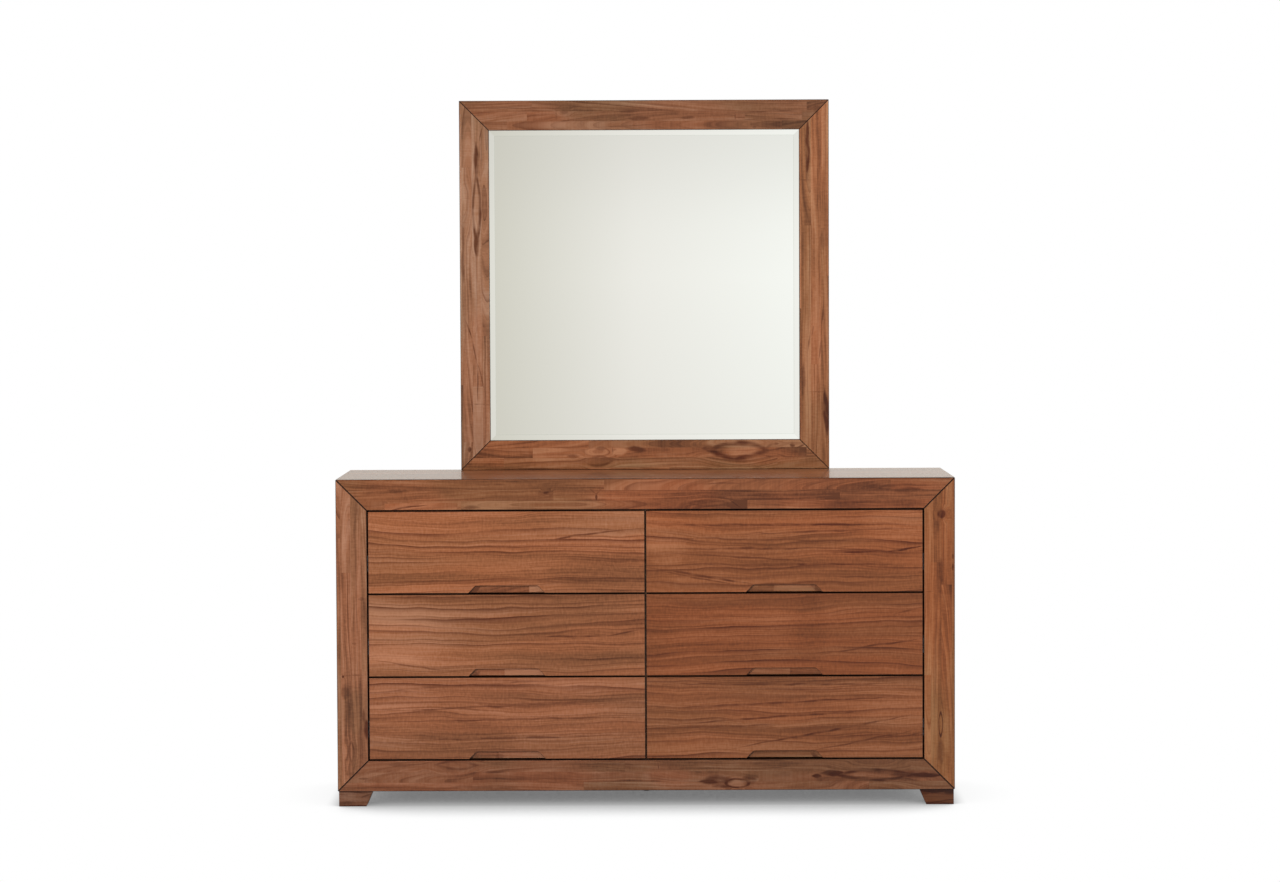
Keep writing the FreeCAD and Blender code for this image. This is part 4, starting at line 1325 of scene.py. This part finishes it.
# studio: white all round for the camera, a plain level of light on the object; the layers are what a
# mirror shows, each with its measure, where it starts and is full, how much, whether eased, and its colour
white = (1, 1, 1, 1)
studioLook = {"skyLight": 0.45, "floorSpan": (1.8, 4.1, 4.2), "floorPlain": (0.80, 0.80, 0.80, 1),
              # the shadow reach, the fade beside the case and the shadow tones set the painted shadow that
              # the camera sees on the floor
              "shadowReach": 0.40, "besideFade": (-0.01, 0.04, 0.85),  # faint beside the case
              "shadowTones": [(0.0, (0.150,) * 3), (0.09, (0.345,) * 3), (0.50, (0.51,) * 3),
                              (0.785, (1.0,) * 3)],
              "lamps": {"keyLamp": {"place": (-2.4, -9.6, 3.0), "size": (3.0, 2.2), "power": 560},
                        "topLamp": {"place": (0.3, -2.2, 5.0), "size": (4.0, 3.0), "power": 50},
                        "rearLamp": {"place": (3.4, 6.0, 3.4), "size": (3.0, 2.2), "power": 190}},
              "lampAim": (0, 0, 0.8), "roomReach": (-0.046, 0.046),
              "roomTones": [(0.0, (0.68, 0.66, 0.585)), (0.45, (0.885, 0.865, 0.82)),
                            (1.0, (0.985, 0.99, 0.955))],
              "roomLayers": [("lift", 0.0, 0.09, 0.30, False, (0.55, 0.53, 0.49, 1)),
                             ("up", 0.01, 0.045, 0.20, True, (0.55, 0.53, 0.49, 1)),
                             ("side", 0.08, 0.16, 1.0, True, (0.76, 0.755, 0.70, 1)),
                             ("lift", 0.09, 0.18, 0.45, True, white),
                             ("away", 0.30, 0.50, 1.0, True, (0.30, 0.295, 0.28, 1)),
                             ("side", 0.42, 0.68, 1.0, True, (0.66, 0.65, 0.61, 1))],
              "behindTones": ((0.862, 0.87, 0.812, 1), (0.925, 0.955, 0.905, 1)),
              "behindReach": (-0.09, 0.09), "turnToRoom": (0.0, -0.25)}


def raysOf(tree, *kinds):
    outputs = addNode(tree, "ShaderNodeLightPath").outputs
    return [nodeValue(outputs[f"Is {kind} Ray"]) for kind in kinds]


def setWorld():
    world = bpy.data.worlds.new("studio")
    bpy.context.scene.world = world
    world.use_nodes = True
    tree = world.node_tree
    tree.nodes.clear()
    camera, glossy, through = raysOf(tree, "Camera", "Glossy", "Transmission")
    x, y, z = split(placeOf(tree, "Generated"))
    measures = {"up": z, "side": abs(x), "lift": abs(z)}
    measures["away"] = larger(measures["side"], measures["lift"])
    room = ramp(rangeOf(x, *studioLook["roomReach"], smooth=False), studioLook["roomTones"])
    for measure, start, full, most, eased, tone in studioLook["roomLayers"]:
        room = mixColours(rangeOf(measures[measure], start, full, 0.0, most, eased), room, tone)
    behind = mixColours(rangeOf(x, *studioLook["behindReach"], smooth=False), *studioLook["behindTones"])
    seen = mixColours(rangeOf(y, *studioLook["turnToRoom"]), behind, room)
    seen = mixColours(camera, seen, white)
    direct = larger(camera, larger(glossy, through))
    colour = mixColours(direct, white, seen)
    power = rangeOf(direct, 0.0, 1.0, studioLook["skyLight"], 1.0, smooth=False)
    background = outOf(tree, "ShaderNodeBackground", {"Color": colour, "Strength": power})
    addNode(tree, "ShaderNodeOutputWorld", {0: background})


def setLamps():
    for name, lamp in studioLook["lamps"].items():
        data = bpy.data.lights.new(name, "AREA")
        data.shape = "RECTANGLE"
        data.size, data.size_y = lamp["size"]
        data.energy = lamp["power"]
        made = link(name, data)
        made.visible_glossy = False
        aim = Vector(studioLook["lampAim"]) - Vector(lamp["place"])
        turn = aim.to_track_quat("-Z", "Y").to_matrix().to_4x4()
        made.matrix_world = Matrix.Translation(lamp["place"]) @ turn


def setFloor():
    fadeFrom, fadeTo, half = studioLook["floorSpan"]
    bm = meshFrom([(-half, -half, 0), (half, -half, 0), (half, half, 0), (-half, half, 0)], [(0, 1, 2, 3)])
    for face in bm.faces:
        if face.normal.z < 0:
            face.normal_flip()
    made, tree, surface = newMaterial("paleFloor", {})
    tree.nodes.remove(surface)
    # the camera sees the floor glow white with a painted shadow, toned by ambient occlusion and faded beside
    # the case; other rays see it plain and matt
    openness = outOf(tree, "ShaderNodeAmbientOcclusion", {"Distance": studioLook["shadowReach"]}, "AO")
    tone = ramp(openness, studioLook["shadowTones"])
    place = placeOf(tree)
    fadeStart, fadeEnd, fade = studioLook["besideFade"]
    beside = rangeOf(abs(split(place)[0]), frameHigh.x + fadeStart, frameHigh.x + fadeEnd, 0.0, fade)
    glow = outOf(tree, "ShaderNodeEmission", {0: mixColours(beside, tone, white), 1: 1.0})
    matt = outOf(tree, "ShaderNodeBsdfDiffuse", {0: studioLook["floorPlain"]})
    shown = outOf(tree, "ShaderNodeMixShader", {0: raysOf(tree, "Camera")[0], 1: matt, 2: glow})
    clear = outOf(tree, "ShaderNodeBsdfTransparent")
    faded = rangeOf(lengthOf(place), fadeFrom, fadeTo)
    both = outOf(tree, "ShaderNodeMixShader", {0: faded, 1: shown, 2: clear})
    setInputs(tree.nodes["Material Output"], {"Surface": both})
    pieceFrom("floor", bm, [made])


bpy.context.scene.view_settings.view_transform = "Standard"
setCamera()
setWorld()
setLamps()
setFloor()
print("camera and studio set")
